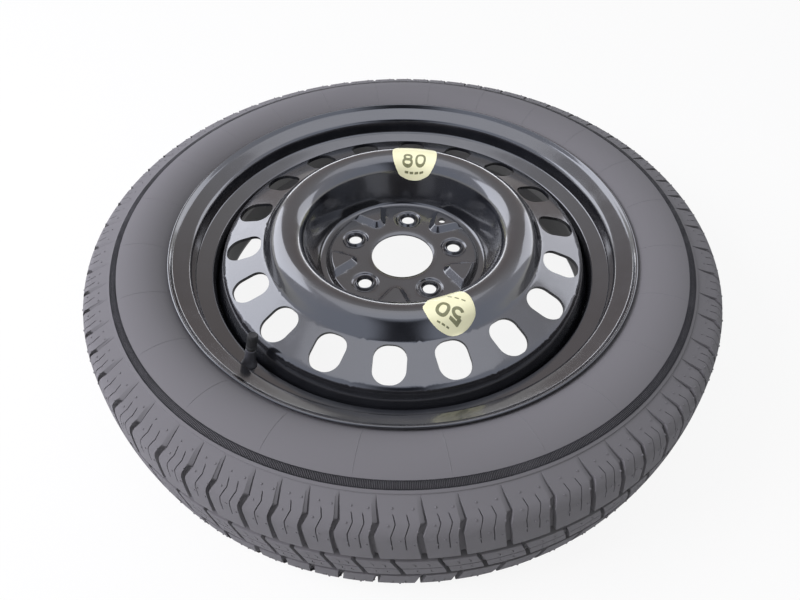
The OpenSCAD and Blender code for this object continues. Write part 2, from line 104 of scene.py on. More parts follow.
class Surface:
    """A material in the making: its shader, with patterns of noise that follow the object's coordinates."""

    def __init__(self, name, **settings):
        self.material = bpy.data.materials.new(name)
        self.material.use_nodes = True
        self.tree = self.material.node_tree
        self.tree.nodes.clear()
        self.shader = add_node(self.tree, "ShaderNodeBsdfPrincipled", **settings)
        self.output = add_node(self.tree, "ShaderNodeOutputMaterial", {"Surface": self.shader.outputs["BSDF"]})
        self.place = add_node(self.tree, "ShaderNodeTexCoord").outputs["Object"]

    def mottle(self, socket, size_mm, stops, **settings):
        """Noise about size_mm across, run through a ramp of stops into one input of the shader."""
        noise = add_node(self.tree, "ShaderNodeTexNoise", {"Vector": self.place}, Scale=1 / (size_mm * MM), **settings)
        ramp = add_node(self.tree, "ShaderNodeValToRGB", {"Fac": noise.outputs["Fac"]}, stops=stops)
        self.tree.links.new(ramp.outputs["Color"], self.shader.inputs[socket])

    def roughen(self, size_mm, depth_mm, strength=0.6, detail=3):
        """Bumps about size_mm across, laid over the bumps that are there already."""
        noise = add_node(self.tree, "ShaderNodeTexNoise", {"Vector": self.place}, Scale=1 / (size_mm * MM),
                         Detail=detail)
        skin = add_node(self.tree, "ShaderNodeBump", {"Height": noise.outputs["Fac"]}, Strength=strength,
                        Distance=depth_mm * MM)
        normal = self.shader.inputs["Normal"]
        for link in normal.links:
            self.tree.links.new(link.from_socket, skin.inputs["Normal"])
        self.tree.links.new(skin.outputs["Normal"], normal)


# Materials

def black_enamel():
    """Black enamel sprayed on rolled steel and baked: deep gloss, in which lamps show as broad soft streaks,
    broken by orange peel and by the long waves that pressing leaves in the sheet, under a thin haze of dust."""
    dark = bpy.context.scene.wheel_look.enamel
    made = Surface("black_enamel", IOR=1.85, Coat_Weight=1.0, Coat_IOR=1.6, Coat_Roughness=0.08)
    made.mottle("Base Color", 45, [(0.35, scaled(dark, 0.8)), (0.6, scaled(dark, 1.2)),
                                   (0.8, scaled(dark, 1.8, 0.002))], Detail=5, Roughness=0.6)
    made.mottle("Roughness", 22, [(0.3, grey(0.11)), (0.75, grey(0.24))], Detail=6, Roughness=0.65)
    made.roughen(55, 0.9, 1.0, 2)
    made.roughen(4, 0.012, 1.0, 2)
    return made.material


def moulded_rubber(name, colour, rough, grain_mm, depth_mm, sheen):
    """Carbon black rubber cured in a steel mould: matt charcoal with a bloom of grey dust and a fine open grain."""
    made = Surface(name, IOR=1.4, Sheen_Weight=sheen, Sheen_Roughness=0.4)
    made.mottle("Base Color", 38, [(0.34, scaled(colour, 0.75)), (0.5, scaled(colour, 1.0)),
                                   (0.68, scaled(colour, 1.5, 0.004))], Detail=7, Roughness=0.62)
    made.mottle("Roughness", 9, [(0.3, grey(rough * 0.85)), (0.75, grey(rough * 1.3))], Detail=5)
    made.roughen(grain_mm, depth_mm)
    return made.material


def plain_finish(name, colour, rough, metallic, ior, grain_mm):
    """A finish of one colour with a little grain in its tone, gloss and relief."""
    base = linear(colour)
    made = Surface(name, Metallic=metallic, IOR=ior)
    made.mottle("Base Color", grain_mm * 6, [(0.3, scaled(base, 0.75)), (0.75, base)], Detail=4)
    made.mottle("Roughness", grain_mm * 3, [(0.3, grey(rough * 0.8)), (0.8, grey(rough * 1.25))], Detail=3)
    made.roughen(grain_mm, 0.02)
    return made.material


def vinyl():
    """Printed vinyl film, pressed on by hand: even pale yellow, glossy, faintly wavy from the paint under it."""
    base = bpy.context.scene.wheel_look.vinyl
    made = Surface("sticker_vinyl", Roughness=0.3, IOR=1.42)
    made.mottle("Base Color", 14, [(0.3, scaled(base, 0.96)), (0.7, scaled(base, 1.0))], Detail=2)
    made.roughen(9, 0.03, detail=2)
    return made.material


# What the eye sees in each finish: name, colour, roughness, metallic, index of refraction, grain in mm
FINISHES = {
    # Bead of weld metal under the same enamel: lumpy and less glossy than the sheet
    "weld_bead": ("#1d1d20", 0.35, 0.0, 1.6, 1.5),
    # Turned brass left bare: warm, with fine marks of the tool
    "turned_brass": ("#b8975a", 0.3, 1.0, 1.5, 0.6),
    # Brass of the core, plated: paler and smoother
    "plated_brass": ("#cdb878", 0.25, 1.0, 1.5, 0.6),
    # Seal of red rubber, moulded: matt
    "red_seal": ("#8c2c22", 0.5, 0.0, 1.52, 0.6),
    # Pin of drawn brass wire
    "pin_brass": ("#b99a55", 0.3, 1.0, 1.5, 0.5),
    # Cup seal of black rubber, moulded
    "black_seal": ("#2a2a2c", 0.55, 0.0, 1.52, 0.6),
    # Drawn steel wire: bright and smooth
    "spring_wire": ("#b9bcc2", 0.25, 1.0, 1.5, 0.4),
    # Cap of moulded polyamide: near black with a soft gloss and a faint grain
    "cap_plastic": ("#1b1a1d", 0.38, 0.0, 1.53, 0.5),
    # Gasket of brown rubber, moulded
    "gasket_rubber": ("#6a2d26", 0.55, 0.0, 1.52, 0.6),
    # Ink printed on vinyl: grey green, as glossy as the film that covers it
    "printed_ink": ("#8b8c66", 0.3, 0.0, 1.5, 0.5),
}


def finish(name):
    """The finish of that name, made the first time that a piece asks for it."""
    made = bpy.data.materials.get(name)
    if made:
        return made
    look = bpy.context.scene.wheel_look
    if name == "black_enamel":
        return black_enamel()
    if name == "tyre_rubber":
        return moulded_rubber(name, look.rubber, 0.46, 0.9, 0.06, 0.0)
    # Serrated band: the tyre's rubber darkened to 0.42 of its colour, painted shade standing for the shade among the
    # band's fine ribs
    if name == "serrated_rubber_painted_shade":
        return moulded_rubber(name, [c * 0.42 for c in look.rubber], 0.5, 0.9, 0.04, 0.03)
    if name == "valve_rubber":
        # Rubber of the valve, moulded smooth: black with a bloom that turns whitish where it faces the light
        return moulded_rubber(name, linear("#2b2a2e")[:3], 0.34, 0.8, 0.02, 0.25)
    if name == "sticker_vinyl":
        return vinyl()
    return plain_finish(name, *FINISHES[name])


# Surfaces

def unit(v):
    return v / np.linalg.norm(v)


def rounded_path(corners, step_deg=4.0):
    """Straight legs through corners (radius, height, bend radius), each corner swept by a tangent arc."""
    spots = [np.array(c[:2], float) for c in corners]
    out = [spots[0][None]]
    for i in range(1, len(corners) - 1):
        a = unit(spots[i] - spots[i - 1])
        b = unit(spots[i + 1] - spots[i])
        turn = math.atan2(a[0] * b[1] - a[1] * b[0], a @ b)
        r = corners[i][2]
        if r <= 0:
            out.append(spots[i][None])
            continue
        side = math.copysign(1, turn)
        right = np.array([a[1], -a[0]])
        centre = spots[i] - a * r * math.tan(abs(turn) / 2) - right * r * side
        start = math.atan2(right[1] * side, right[0] * side)
        steps = max(3, math.ceil(abs(math.degrees(turn)) / step_deg))
        angles = start + turn * np.linspace(0, 1, steps + 1)
        out.append(centre + r * np.stack([np.cos(angles), np.sin(angles)], 1))
    out.append(spots[-1][None])
    return np.concatenate(out)


def arc(centre, r, start, end, steps):
    """Points on a circle from one angle to another, in degrees."""
    t = np.radians(np.linspace(start, end, steps + 1))
    return np.array(centre) + r * np.stack([np.cos(t), np.sin(t)], 1)


def stations(path):
    """Distance along a path at each of its points."""
    return np.concatenate([[0], np.cumsum(np.linalg.norm(np.diff(path, axis=0), axis=1))])


def along(path, s):
    """Points of a path at the distances s."""
    q = stations(path)
    return np.stack([np.interp(s, q, path[:, 0]), np.interp(s, q, path[:, 1])], -1)


def filled(path, largest):
    """The same path with points added so that no step is longer than largest."""
    q = stations(path)
    extra = [np.linspace(a, b, max(1, math.ceil((b - a) / largest)) + 1)[:-1] for a, b in zip(q, q[1:])]
    return along(path, np.append(np.concatenate(extra), q[-1]))


def polar(r, degrees, z):
    """Points at radius r, at a turn in degrees and at height z."""
    a = np.radians(degrees)
    return np.stack(np.broadcast_arrays(r * np.cos(a), r * np.sin(a), z), -1)


def spun(points, degrees):
    """Points turned about the third axis."""
    a = math.radians(degrees)
    x, y = points[..., 0], points[..., 1]
    return np.stack([x * math.cos(a) - y * math.sin(a), x * math.sin(a) + y * math.cos(a), points[..., 2]], -1)


def grid_faces(rows, cols, wrap_rows=False, wrap_cols=False):
    """Four-cornered faces of a grid of points stored row by row."""
    i = np.arange(rows if wrap_rows else rows - 1)
    j = np.arange(cols if wrap_cols else cols - 1)
    i, j = np.meshgrid(i, j, indexing="ij")
    n, m = (i + 1) % rows, (j + 1) % cols
    return np.stack([i * cols + j, n * cols + j, n * cols + m, i * cols + m], -1).reshape(-1, 4)


def joined(grids, wrap_cols=False):
    """The points and the faces of several grids, as one mesh."""
    points, faces, count = [], [], 0
    for grid in grids:
        points.append(grid.reshape(-1, 3))
        faces.append(grid_faces(*grid.shape[:2], wrap_cols=wrap_cols) + count)
        count += len(points[-1])
    return np.concatenate(points), np.concatenate(faces)


def add_piece(name, points, faces, look, slot, body="wheel", merge=0.0, outward=False, sharp=None):
    """Makes a smooth mesh piece from points in mm and faces of four corners, and rides it on a body.

    Points nearer than merge are joined, the faces of closed shells can be turned outwards, and edges that turn by
    more than sharp degrees stay sharp."""
    points = np.asarray(points, float).reshape(-1, 3) * MM
    mesh = bpy.data.meshes.new(name)
    mesh.vertices.add(len(points))
    mesh.vertices.foreach_set("co", points.ravel())
    mesh.loops.add(faces.size)
    mesh.loops.foreach_set("vertex_index", faces.ravel().astype(np.int32))
    mesh.polygons.add(len(faces))
    mesh.polygons.foreach_set("loop_start", np.arange(len(faces), dtype=np.int32) * faces.shape[1])
    mesh.polygons.foreach_set("use_smooth", np.ones(len(faces), bool))
    mesh.update(calc_edges=True)
    work = bmesh.new()
    work.from_mesh(mesh)
    if merge:
        bmesh.ops.remove_doubles(work, verts=work.verts, dist=merge * MM)
    if outward:
        bmesh.ops.recalc_face_normals(work, faces=work.faces)
    work.to_mesh(mesh)
    work.free()
    mesh.validate()
    mesh.materials.append(finish(look))
    if sharp:
        mesh.set_sharp_from_angle(angle=math.radians(sharp))
    made = bpy.data.objects.new(name, mesh)
    bpy.context.collection.objects.link(made)
    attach(made, body)
    return made


def lathe(path, columns=COLUMNS):
    """A profile of (radius, height) turned once round the axis, as rows of points."""
    return polar(path[:, :1], np.linspace(0, 360, columns, endpoint=False), path[:, 1:])


def lathe_piece(name, path, look, columns=COLUMNS, **more):
    """A closed section, taken clockwise so that its faces point outwards, turned round the axis."""
    x, y = path[:, 0], path[:, 1]
    if np.sum(x * np.roll(y, -1) - y * np.roll(x, -1)) > 0:
        path = path[::-1]
    return add_piece(name, lathe(path, columns), grid_faces(len(path), columns, wrap_rows=True, wrap_cols=True),
                     look, **more)


def meet(p, a, q, b):
    """Where the line through p at angle a meets the line through q at angle b, in degrees."""
    a, b = math.radians(a), math.radians(b)
    d = math.cos(a) * math.sin(b) - math.sin(a) * math.cos(b)
    s = ((q[0] - p[0]) * math.sin(b) - (q[1] - p[1]) * math.cos(b)) / d
    return p[0] + s * math.cos(a), p[1] + s * math.sin(a)


def shifted(corners, t):
    """The corners of a bent path moved by t to its right hand, with the bends changed to suit."""
    spots = [np.array(c[:2], float) for c in corners]
    legs = [unit(b - a) for a, b in zip(spots, spots[1:])]
    out = []
    for i, p in enumerate(spots):
        a, b = legs[max(i - 1, 0)], legs[min(i, len(legs) - 1)]
        na, nb = np.array([a[1], -a[0]]), np.array([b[1], -b[0]])
        turn = a[0] * b[1] - a[1] * b[0]
        moved = p + t * (na + nb) / (1 + na @ nb)
        out.append((*moved, max(0.3, corners[i][2] + (t if turn > 0 else -t))))
    return out


# Sections of the wheel, in mm and degrees, from the hub outwards

MID_Z = -17.5
DISC_T, RIM_T = 3.5, 2.8
BORE_R, BORE_LIP = 33.05, 6.75
BOLT_TURN, BOLT_R, BOLT_HOLE_R = 83.53, 57.15, 7.2
PAD_TURN, LOCATOR_AT, LOCATOR_R = BOLT_TURN - 36, 66.0, 4.1
# The pads' relief starts at one radius, and the plateau that carries them ends at the other
RELIEF_R, PLATEAU_R = 44, 77.4
CROWN_R = 120.5
VENT_TURN, VENT_MID_R, VENT_IN_R, VENT_OUT_R = 6.16, 164.8, 141.0, 190.5
VENT_LENGTH, VENT_WIDTH, VENT_CORNER = 37.9, 30.5, 13.5
FLANGE_R = 196.9
BEAD_R, RIM_WIDTH, SEAT_WIDTH, LEDGE_ANGLE = 218.3, 101.6, 15.7, 20.0
TYRE_R = 322.0


def rim_corners():
    """Half of the rim's face, from the crest of the outboard lip to the middle plane, heights from that plane."""
    taper = math.tan(math.radians(5))
    foot = np.array([BEAD_R - RIM_T + SEAT_WIDTH / 2 * taper, RIM_WIDTH / 2 - 1.2])
    curl = foot + 15.3 * np.array([1, math.tan(math.radians(26.6))])
    lip = math.radians(57)
    edge_h = RIM_WIDTH / 2 + 10.7 - RIM_T / 2 * (1 - math.cos(lip))
    edge = (curl[0] + (edge_h - curl[1]) / math.tan(lip), edge_h)
    ledge_out = np.array([foot[0] - SEAT_WIDTH * taper, foot[1] - SEAT_WIDTH])
    ledge_in = ledge_out - 15.5 * np.array([1, math.tan(math.radians(LEDGE_ANGLE))])
    return [(*edge, 0), (*curl, 6), (*foot, 6), (*ledge_out, 2), (*ledge_in, 3), (197.0, ledge_in[1] - 6.4, 8)]


def rim_section():
    """The rolled sheet's whole section with its two round edges."""
    half = rim_corners()
    whole = half + [(r, -h, bend) for r, h, bend in half[::-1]]
    face = rounded_path(whole)
    back = rounded_path(shifted(whole, -RIM_T))

    def round_end(p, q):
        centre, r = (p + q) / 2, np.linalg.norm(p - q) / 2
        start = math.degrees(math.atan2(*(p - centre)[::-1]))
        return arc(centre, r, start, start + 180, 8)[1:-1]

    section = np.concatenate([face, round_end(face[-1], back[-1]), back[::-1], round_end(back[0], face[0])])
    return section + np.array([0, MID_Z])


def disc_corners():
    """The disc's outboard face from the plateau to the end of its flange."""
    crown_top, crown_round = 51.4, 20.0
    slope, bowl = 52.1, 72.0
    vent_foot = (CROWN_R + crown_round * math.sin(math.radians(slope)),
                 crown_top - crown_round * (1 - math.cos(math.radians(slope))))
    crown_in = (CROWN_R - crown_round * math.sin(math.radians(bowl)),
                crown_top - crown_round * (1 - math.cos(math.radians(bowl))))
    bowl_foot = (90.4, DISC_T)
    moat_z = DISC_T - 4
    moat_out = meet(bowl_foot, bowl, (0, moat_z), 0)
    rise = math.degrees(math.atan2(crown_in[1] - bowl_foot[1], crown_in[0] - bowl_foot[0]))
    peak = meet(crown_in, rise, vent_foot, -slope)
    vent_in = (vent_foot[0] + (vent_foot[1] - 34) / math.tan(math.radians(slope)), 34.0)
    vent_out = (186.5, 34 - (186.5 - vent_in[0]) * math.tan(math.radians(15.5)))
    skirt_z = vent_out[1] - (FLANGE_R - vent_out[0]) * math.tan(math.radians(66))
    return [(BORE_R + BORE_LIP, DISC_T, 0), (79.0, DISC_T, 2), (79 + 4 / math.tan(math.radians(60)), moat_z, 3),
            (*moat_out, 5), (*peak, crown_round), (*vent_in, 4), (*vent_out, 8.2), (FLANGE_R, skirt_z, 6),
            (FLANGE_R, -16.0, 0)]


def ease(x, low, high):
    """Rises smoothly from 0 at low to 1 at high."""
    t = np.clip((x - low) / (high - low), 0, 1)
    return t * t * (3 - 2 * t)


# Pressed pads: a wedge with a rounded nose that points at the bore and an outer wall round the hub's axis

PAD_SPREAD, NOSE_AT, NOSE_R = 30.0, 59.0, 10.0
PAD_H, PAD_RUN, PAD_WALL_R = 5.8, 6.1, 80.4


def pad_depth(px, py):
    """How far a point lies inside the pad's foot line: from the nose circle, else from the wedge's sides."""
    e = np.array([math.cos(math.radians(PAD_SPREAD)), math.sin(math.radians(PAD_SPREAD))])
    x, y = px - NOSE_AT, np.abs(py)
    ahead = x * e[0] + y * e[1] < 0
    return NOSE_R - np.where(ahead, np.hypot(x, y), y * e[0] - x * e[1])


def relief(x, y):
    """Height of the bolt seats and of the sheet under the pads above the flat plateau."""
    r, a = np.hypot(x, y), np.degrees(np.arctan2(y, x))
    turn = (a - PAD_TURN + 36) % 72 - 36
    px, py = r * np.cos(np.radians(turn)), r * np.sin(np.radians(turn))
    rise = (pad_depth(px, py) - 1.2) * PAD_H / PAD_RUN
    pad = np.clip(rise, 0, PAD_H - 0.9) * (1 - ease(r, 74.0, 76.5))
    turn = (a - BOLT_TURN + 36) % 72 - 36
    bx, by = r * np.cos(np.radians(turn)) - BOLT_R, r * np.sin(np.radians(turn))
    rho = np.hypot(bx, by)
    dish = -1.6 * ease(rho, 9.9, 11.2) * (1 - ease(rho, 12.6, 14.2))
    lip = 1.2 * (1 - ease(rho, 9.3, 10.4))
    cone = -np.clip((8.8 - rho) / math.tan(math.radians(30)), 0, 2.77)
    return pad * (rho > 14) + dish + lip + cone


def pad_loop(depth, wall_r, z_side, z_wall):
    """One closed line round a pad: wedge side, nose and wedge side at a depth inside the foot, then the outer wall.

    A side meets the wall where its distance from the hub's axis is wall_r, and the corner there is rounded."""
    e = np.array([math.cos(math.radians(PAD_SPREAD)), math.sin(math.radians(PAD_SPREAD))])
    n = np.array([-e[1], e[0]])
    nose = NOSE_R - depth
    c = np.array([NOSE_AT, 0]) + nose * n
    reach = -c @ e + math.sqrt((c @ e) ** 2 - c @ c + wall_r ** 2)
    side = c + np.linspace(reach - 1.6, 0, 10)[:, None] * e
    turns = np.radians(np.linspace(90 + PAD_SPREAD, 270 - PAD_SPREAD, 19)[1:-1])
    front = np.array([NOSE_AT, 0]) + nose * np.stack([np.cos(turns), np.sin(turns)], 1)
    corner = c + reach * e
    end = math.atan2(corner[1], corner[0]) - 1.6 / wall_r
    sweep = np.linspace(-end, end, 27)
    wall = wall_r * np.stack([np.cos(sweep), np.sin(sweep)], 1)
    bend = 0.25 * (c + (reach - 1.6) * e) + 0.5 * corner + 0.25 * wall[-1]
    flat = np.concatenate([side, front, side[::-1] * [1, -1], bend[None] * [1, -1], wall, bend[None]])
    z = np.concatenate([np.full(37, z_side), [(z_side + z_wall) / 2], np.full(27, z_wall), [(z_side + z_wall) / 2]])
    return np.concatenate([flat, z[:, None]], 1)


def build_pads():
    """Five pads as skins over the disc: loops from the foot up the flanks, over the edge and in to the middle."""
    flank = filled(rounded_path([(-1.6, -0.5, 0), (0, 0.0, 1.6), (PAD_RUN, PAD_H, 1.8), (8.2, PAD_H, 0)], 12), 1.3)
    wall = filled(rounded_path([(81.2, -4.4, 0), (PAD_WALL_R, -2.6, 0.8), (77.2, PAD_H, 3.4), (73.4, PAD_H, 0)], 12),
                  1.0)
    part = np.linspace(0, 1, 22)
    side = along(flank, part * stations(flank)[-1])
    outer = along(wall, part * stations(wall)[-1])
    loops = np.array([pad_loop(s[0], w[0], s[1], w[1]) for s, w in zip(side, outer)])
    middle = np.array([LOCATOR_AT, 0])
    out = loops[-1][:, :2] - middle
    dist = np.linalg.norm(out, axis=1)
    grids = []
    for k in range(5):
        hole = LOCATOR_R if k == 0 else 0.02
        inner = [middle + out / dist[:, None] * (hole + (dist - hole) * t)[:, None] for t in (0.75, 0.5, 0.25, 0)]
        rings = [np.concatenate([ring, np.full((len(ring), 1), PAD_H)], 1) for ring in inner]
        if k == 0:
            rings += [rings[-1] - [0, 0, 2.5]]
        grids.append(spun(np.concatenate([loops, np.array(rings)]), PAD_TURN + 72 * k) + [0, 0, DISC_T])
    points, faces = joined(grids, wrap_cols=True)
    add_piece("disc_pads", points, faces[:, ::-1], "black_enamel", "black_paint", merge=0.05, sharp=50)


def rounded_box_reach(dx, dy, half_x, half_y, corner):
    """How far from the centre of a rounded box its edge lies along each direction (dx, dy)."""
    low, high = np.zeros_like(dx), np.full_like(dx, half_x + half_y)
    for _ in range(44):
        mid = (low + high) / 2
        qx = np.abs(dx * mid) - (half_x - corner)
        qy = np.abs(dy * mid) - (half_y - corner)
        depth = np.hypot(np.maximum(qx, 0), np.maximum(qy, 0)) + np.minimum(np.maximum(qx, qy), 0) - corner
        low, high = np.where(depth < 0, mid, low), np.where(depth < 0, high, mid)
    return (low + high) / 2


def cell_border(a_list, q_list):
    """Border points of a cell, once round, as columns (turn, station)."""
    a, q = np.asarray(a_list), np.asarray(q_list)
    turns = np.concatenate([a[:-1], np.full(len(q) - 1, a[-1]), a[::-1][:-1], np.full(len(q) - 1, a[0])])
    places = np.concatenate([np.full(len(a) - 1, q[0]), q[:-1], np.full(len(a) - 1, q[-1]), q[::-1][:-1]])
    return turns, places


class DiscSurface:
    """The disc's face as points over turn and station, with holes left by cells drawn round them."""

    def __init__(self):
        drop = 1.5
        r = (BORE_LIP ** 2 + drop ** 2) / (2 * drop)
        lip = arc((BORE_R + BORE_LIP, DISC_T - r), r, 90 + math.degrees(math.asin(BORE_LIP / r)), 90, 6)
        wall = np.array([[BORE_R, 0.4]])
        self.path = np.concatenate([wall, lip, rounded_path(disc_corners(), 8.0)[1:]])
        self.q = stations(self.path)
        self.points, self.faces, self.count = [], [], 0

    def station(self, r):
        """Station at which the face, going outwards, reaches the radius r."""
        return float(np.interp(r, self.path[1:-2, 0], self.q[1:-2]))

    def place(self, turn, q):
        """Points of the face at turns in degrees and stations q."""
        spot = along(self.path, q)
        points = polar(spot[..., 0], turn, spot[..., 1])
        points[..., 2] += np.where(spot[..., 0] > RELIEF_R, relief(points[..., 0], points[..., 1]), 0)
        return points

    def add(self, grid, wrap_cols=False):
        self.points.append(grid.reshape(-1, 3))
        self.faces.append(grid_faces(*grid.shape[:2], wrap_cols=wrap_cols) + self.count)
        self.count += len(self.points[-1])

    def band(self, q_list, turn_at, step=2):
        """A whole ring of faces, whose columns lie at turn_at(station) and the degrees after it."""
        steps = np.arange(0, COLUMNS, step)
        turns = np.array([turn_at(q) + steps for q in q_list])
        self.add(self.place(turns, np.repeat(np.array(q_list)[:, None], len(steps), 1)), wrap_cols=True)

    def step_up(self, q_list, turn_at):
        """One ring of faces from columns two degrees apart to columns one degree apart."""
        steps = np.arange(COLUMNS)
        turns = np.stack([turn_at(q_list[0]) + steps // 2 * 2, turn_at(q_list[1]) + steps])
        self.add(self.place(turns, np.repeat(np.array(q_list)[:, None], COLUMNS, 1)), wrap_cols=True)

    def patch(self, a_list, q_list):
        a, q = np.meshgrid(a_list, q_list)
        self.add(self.place(a, q))

    def flat_cell(self, a_list, q_list, hole_turn, hole_r, radius, near):
        """Rings from a round hole in the plateau out to the border of its cell."""
        turns, places = cell_border(a_list, q_list)
        edge = self.place(turns, places)[:, :2]
        centre = hole_r * np.array([math.cos(math.radians(hole_turn)), math.sin(math.radians(hole_turn))])
        out = edge - centre
        reach = np.linalg.norm(out, axis=1)
        fixed = radius + np.array(near)[:, None]
        far = fixed[-1] + np.linspace(0, 1, 9)[1:, None] * (reach - fixed[-1])
        rings = np.concatenate([np.repeat(fixed, len(reach), 1), far])
        xy = centre + rings[..., None] * (out / reach[:, None])
        r = np.hypot(xy[..., 0], xy[..., 1])
        base = np.interp(r, self.path[1:-2, 0], self.path[1:-2, 1])
        z = base + np.where(r > RELIEF_R, relief(xy[..., 0], xy[..., 1]), 0)
        wall = np.column_stack([xy[0], np.maximum(0.4, z[0] - 3.1)])
        grid = np.concatenate([wall[None], np.concatenate([xy, z[..., None]], -1)])
        self.add(grid[:, ::-1], wrap_cols=True)

    def vent_cell(self, a_list, q_list, turn, q_mid, length, width, corner, rings):
        """Rings from a vent's edge out to the border of its cell, in the plane of the vent ring."""
        turns, places = cell_border(a_list, q_list)
        edge_x = places - q_mid
        edge_y = np.radians(turns - turn) * along(self.path, places)[:, 0]
        far = np.hypot(edge_x, edge_y)
        reach = rounded_box_reach(edge_x / far, edge_y / far, length / 2, width / 2, corner)
        t = np.linspace(0, 1, rings) ** 1.3
        dist = reach + t[:, None] * (far - reach)
        q = q_mid + dist * edge_x / far
        y = dist * edge_y / far
        a = turn + np.degrees(y / along(self.path, q)[..., 0])
        a[-1], q[-1] = turns, places
        self.add(self.place(a, q)[:, ::-1], wrap_cols=True)


def spaced(path_q, start, end, largest):
    """Stations from start to end that keep the path's own points and add more where steps are long."""
    inner = path_q[(path_q > start + 0.2) & (path_q < end - 0.2)]
    marks = np.concatenate([[start], inner, [end]])
    parts = [np.linspace(a, b, max(1, math.ceil((b - a) / largest)) + 1)[:-1] for a, b in zip(marks, marks[1:])]
    return np.append(np.concatenate(parts), end)


def build_disc():
    """The pressed disc: rings of points on its face, cells round its holes, then its sheet thickness."""
    disc = DiscSurface()
    locator_half = 6
    first = PAD_TURN - locator_half
    vent_shift = round(VENT_TURN + 10 - first) - (VENT_TURN + 10 - first)
    plateau_in, plateau_out = disc.station(BORE_R + BORE_LIP), disc.station(PLATEAU_R)
    vent_in, vent_out, vent_mid = (disc.station(r) for r in (VENT_IN_R, VENT_OUT_R, VENT_MID_R))
    disc.band(spaced(disc.q, 0, plateau_in, 3), lambda q: first)
    rows = spaced(disc.q, plateau_in, plateau_out, 3.2)
    near = [0, 0.8, 1.6, 2.1, 2.6, 3.2, 4.0, 4.8, 5.6, 6.4, 7.2]
    columns = first + np.arange(0, 2 * locator_half + 1, 2)
    disc.patch(columns, rows[:7])
    disc.patch(columns, rows[-2:])
    disc.flat_cell(columns, rows[6:-1], PAD_TURN, LOCATOR_AT, LOCATOR_R, [0, 0.5, 1.0])
    for k in range(5):
        low = 2 * locator_half if k == 0 else 6 + 72 * k
        high = 360 if k == 4 else 6 + 72 * (k + 1)
        disc.flat_cell(first + np.arange(low, high + 1, 2), rows, BOLT_TURN + 72 * k, BOLT_R, BOLT_HOLE_R, near)
    turned = lambda q: first - vent_shift * float(ease(q, plateau_out, vent_in))
    rings = spaced(disc.q, plateau_out, vent_in, 6.0)
    disc.band(rings[:-1], turned)
    disc.step_up(rings[-2:], turned)
    q_list = spaced(disc.q, vent_in, vent_out, 4.5)
    start = first - vent_shift
    offset = round(VENT_TURN + 10 - start)
    for k in range(18):
        low = offset + 20 * (k - 1)
        columns = start + np.arange(low, low + 21)
        disc.vent_cell(columns, q_list, VENT_TURN + 20 * k, vent_mid, VENT_LENGTH, VENT_WIDTH, VENT_CORNER, 8)
    disc.band(spaced(disc.q, vent_out, disc.q[-1], 6.0), lambda q: start, 1)
    piece = add_piece("disc_steel", np.concatenate(disc.points), np.concatenate(disc.faces), "black_enamel",
                      "black_paint", merge=0.002)
    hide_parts("disc")
    wall = piece.modifiers.new("sheet", "SOLIDIFY")
    wall.thickness, wall.offset, wall.use_even_offset = DISC_T * MM, -1, True
    edge = piece.modifiers.new("edges", "BEVEL")
    edge.width, edge.segments, edge.limit_method = 0.45 * MM, 2, "ANGLE"
    edge.angle_limit, edge.harden_normals = math.radians(50), True


# Speed stickers: outlines and marks are laid out in plan, as (outwards from the crown's top, anticlockwise) in mm

STICKER_T = 0.3
STICKER_80 = (83.5, [(0.1, 25.1), (-13.9, 22.5), (-20.6, 17.1), (-21.9, 9.4), (-22.3, -1.4), (-22, -13.3),
                     (-20.2, -21.6), (-12.2, -25.9), (0.5, -25.6), (9.5, -21.5), (12.9, -11), (13.4, 1), (12.6, 12),
                     (8.8, 20.5)])
STICKER_50 = (-69, [(-2, -25.5), (-6.3, -22.2), (-12.5, -15), (-15.6, -4), (-15.4, 7), (-11.1, 15.9), (-1.9, 19.7),
                    (11.1, 20.1), (17.2, 16.8), (22.7, 6.7), (24.2, -5.1), (18.4, -16.7), (9.6, -23.7)])


def loop_through(spots, count):
    """A smooth closed curve through the spots (a cubic through each four), as count points at even distances."""
    b = np.array(spots, float)
    a, c, d = np.roll(b, 1, 0), np.roll(b, -1, 0), np.roll(b, -2, 0)
    t = np.linspace(0, 1, 24, endpoint=False)[:, None, None]
    curve = 0.5 * (2 * b + (c - a) * t + (2 * a - 5 * b + 4 * c - d) * t ** 2 + (3 * b - a - 3 * c + d) * t ** 3)
    curve = curve.transpose(1, 0, 2).reshape(-1, 2)
    curve = np.concatenate([curve, curve[:1]])
    return along(curve, np.linspace(0, 1, count + 1)[:-1] * stations(curve)[-1])


def on_crown(spots, turn, lift):
    """Points of the disc's face under plan spots, lifted off it along its normal."""
    face = rounded_path(disc_corners())
    x, y = CROWN_R + spots[..., 0], spots[..., 1]
    r = np.hypot(x, y)
    slope = np.gradient(face[:, 1]) / np.maximum(np.gradient(face[:, 0]), 1e-6)
    z, s = np.interp(r, face[:, 0], face[:, 1]), np.interp(r, face[:, 0], slope)
    away = lift / np.sqrt(1 + s * s)
    grow = (r - s * away) / r
    return spun(np.stack([x * grow, y * grow, z + away], -1), turn)


def sticker_sheet(name, turn, spots, node):
    """A film of vinyl: rings from its middle out to its cut edge, round the edge and back underneath."""
    edge = loop_through(spots, 128)
    middle = edge.mean(0)
    steps = np.concatenate([np.linspace(0, 1, 15)[:-1] ** 0.8 * 0.985, [0.988, 1.0, 1.0, 0.99], np.linspace(0.9, 0, 7)])
    lifts = np.concatenate([np.full(15, STICKER_T + 0.06), [STICKER_T, 0.12], np.full(8, 0.06)])
    rings = middle + steps[:, None, None] * (edge - middle)
    grid = on_crown(rings, turn, lifts[:, None])
    faces = grid_faces(len(steps), len(edge), wrap_cols=True)
    piece = add_piece(name, grid, orient(grid, faces), "sticker_vinyl", "sticker_vinyl", merge=0.0005, sharp=60)
    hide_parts(node)


def orient(grid, faces):
    """The faces, turned over if their first one looks down at the wheel's face instead of up from it."""
    p = grid.reshape(-1, 3)[faces[len(faces) // 6]]
    up = np.cross(p[1] - p[0], p[3] - p[0])[2]
    return faces if up > 0 else faces[:, ::-1]


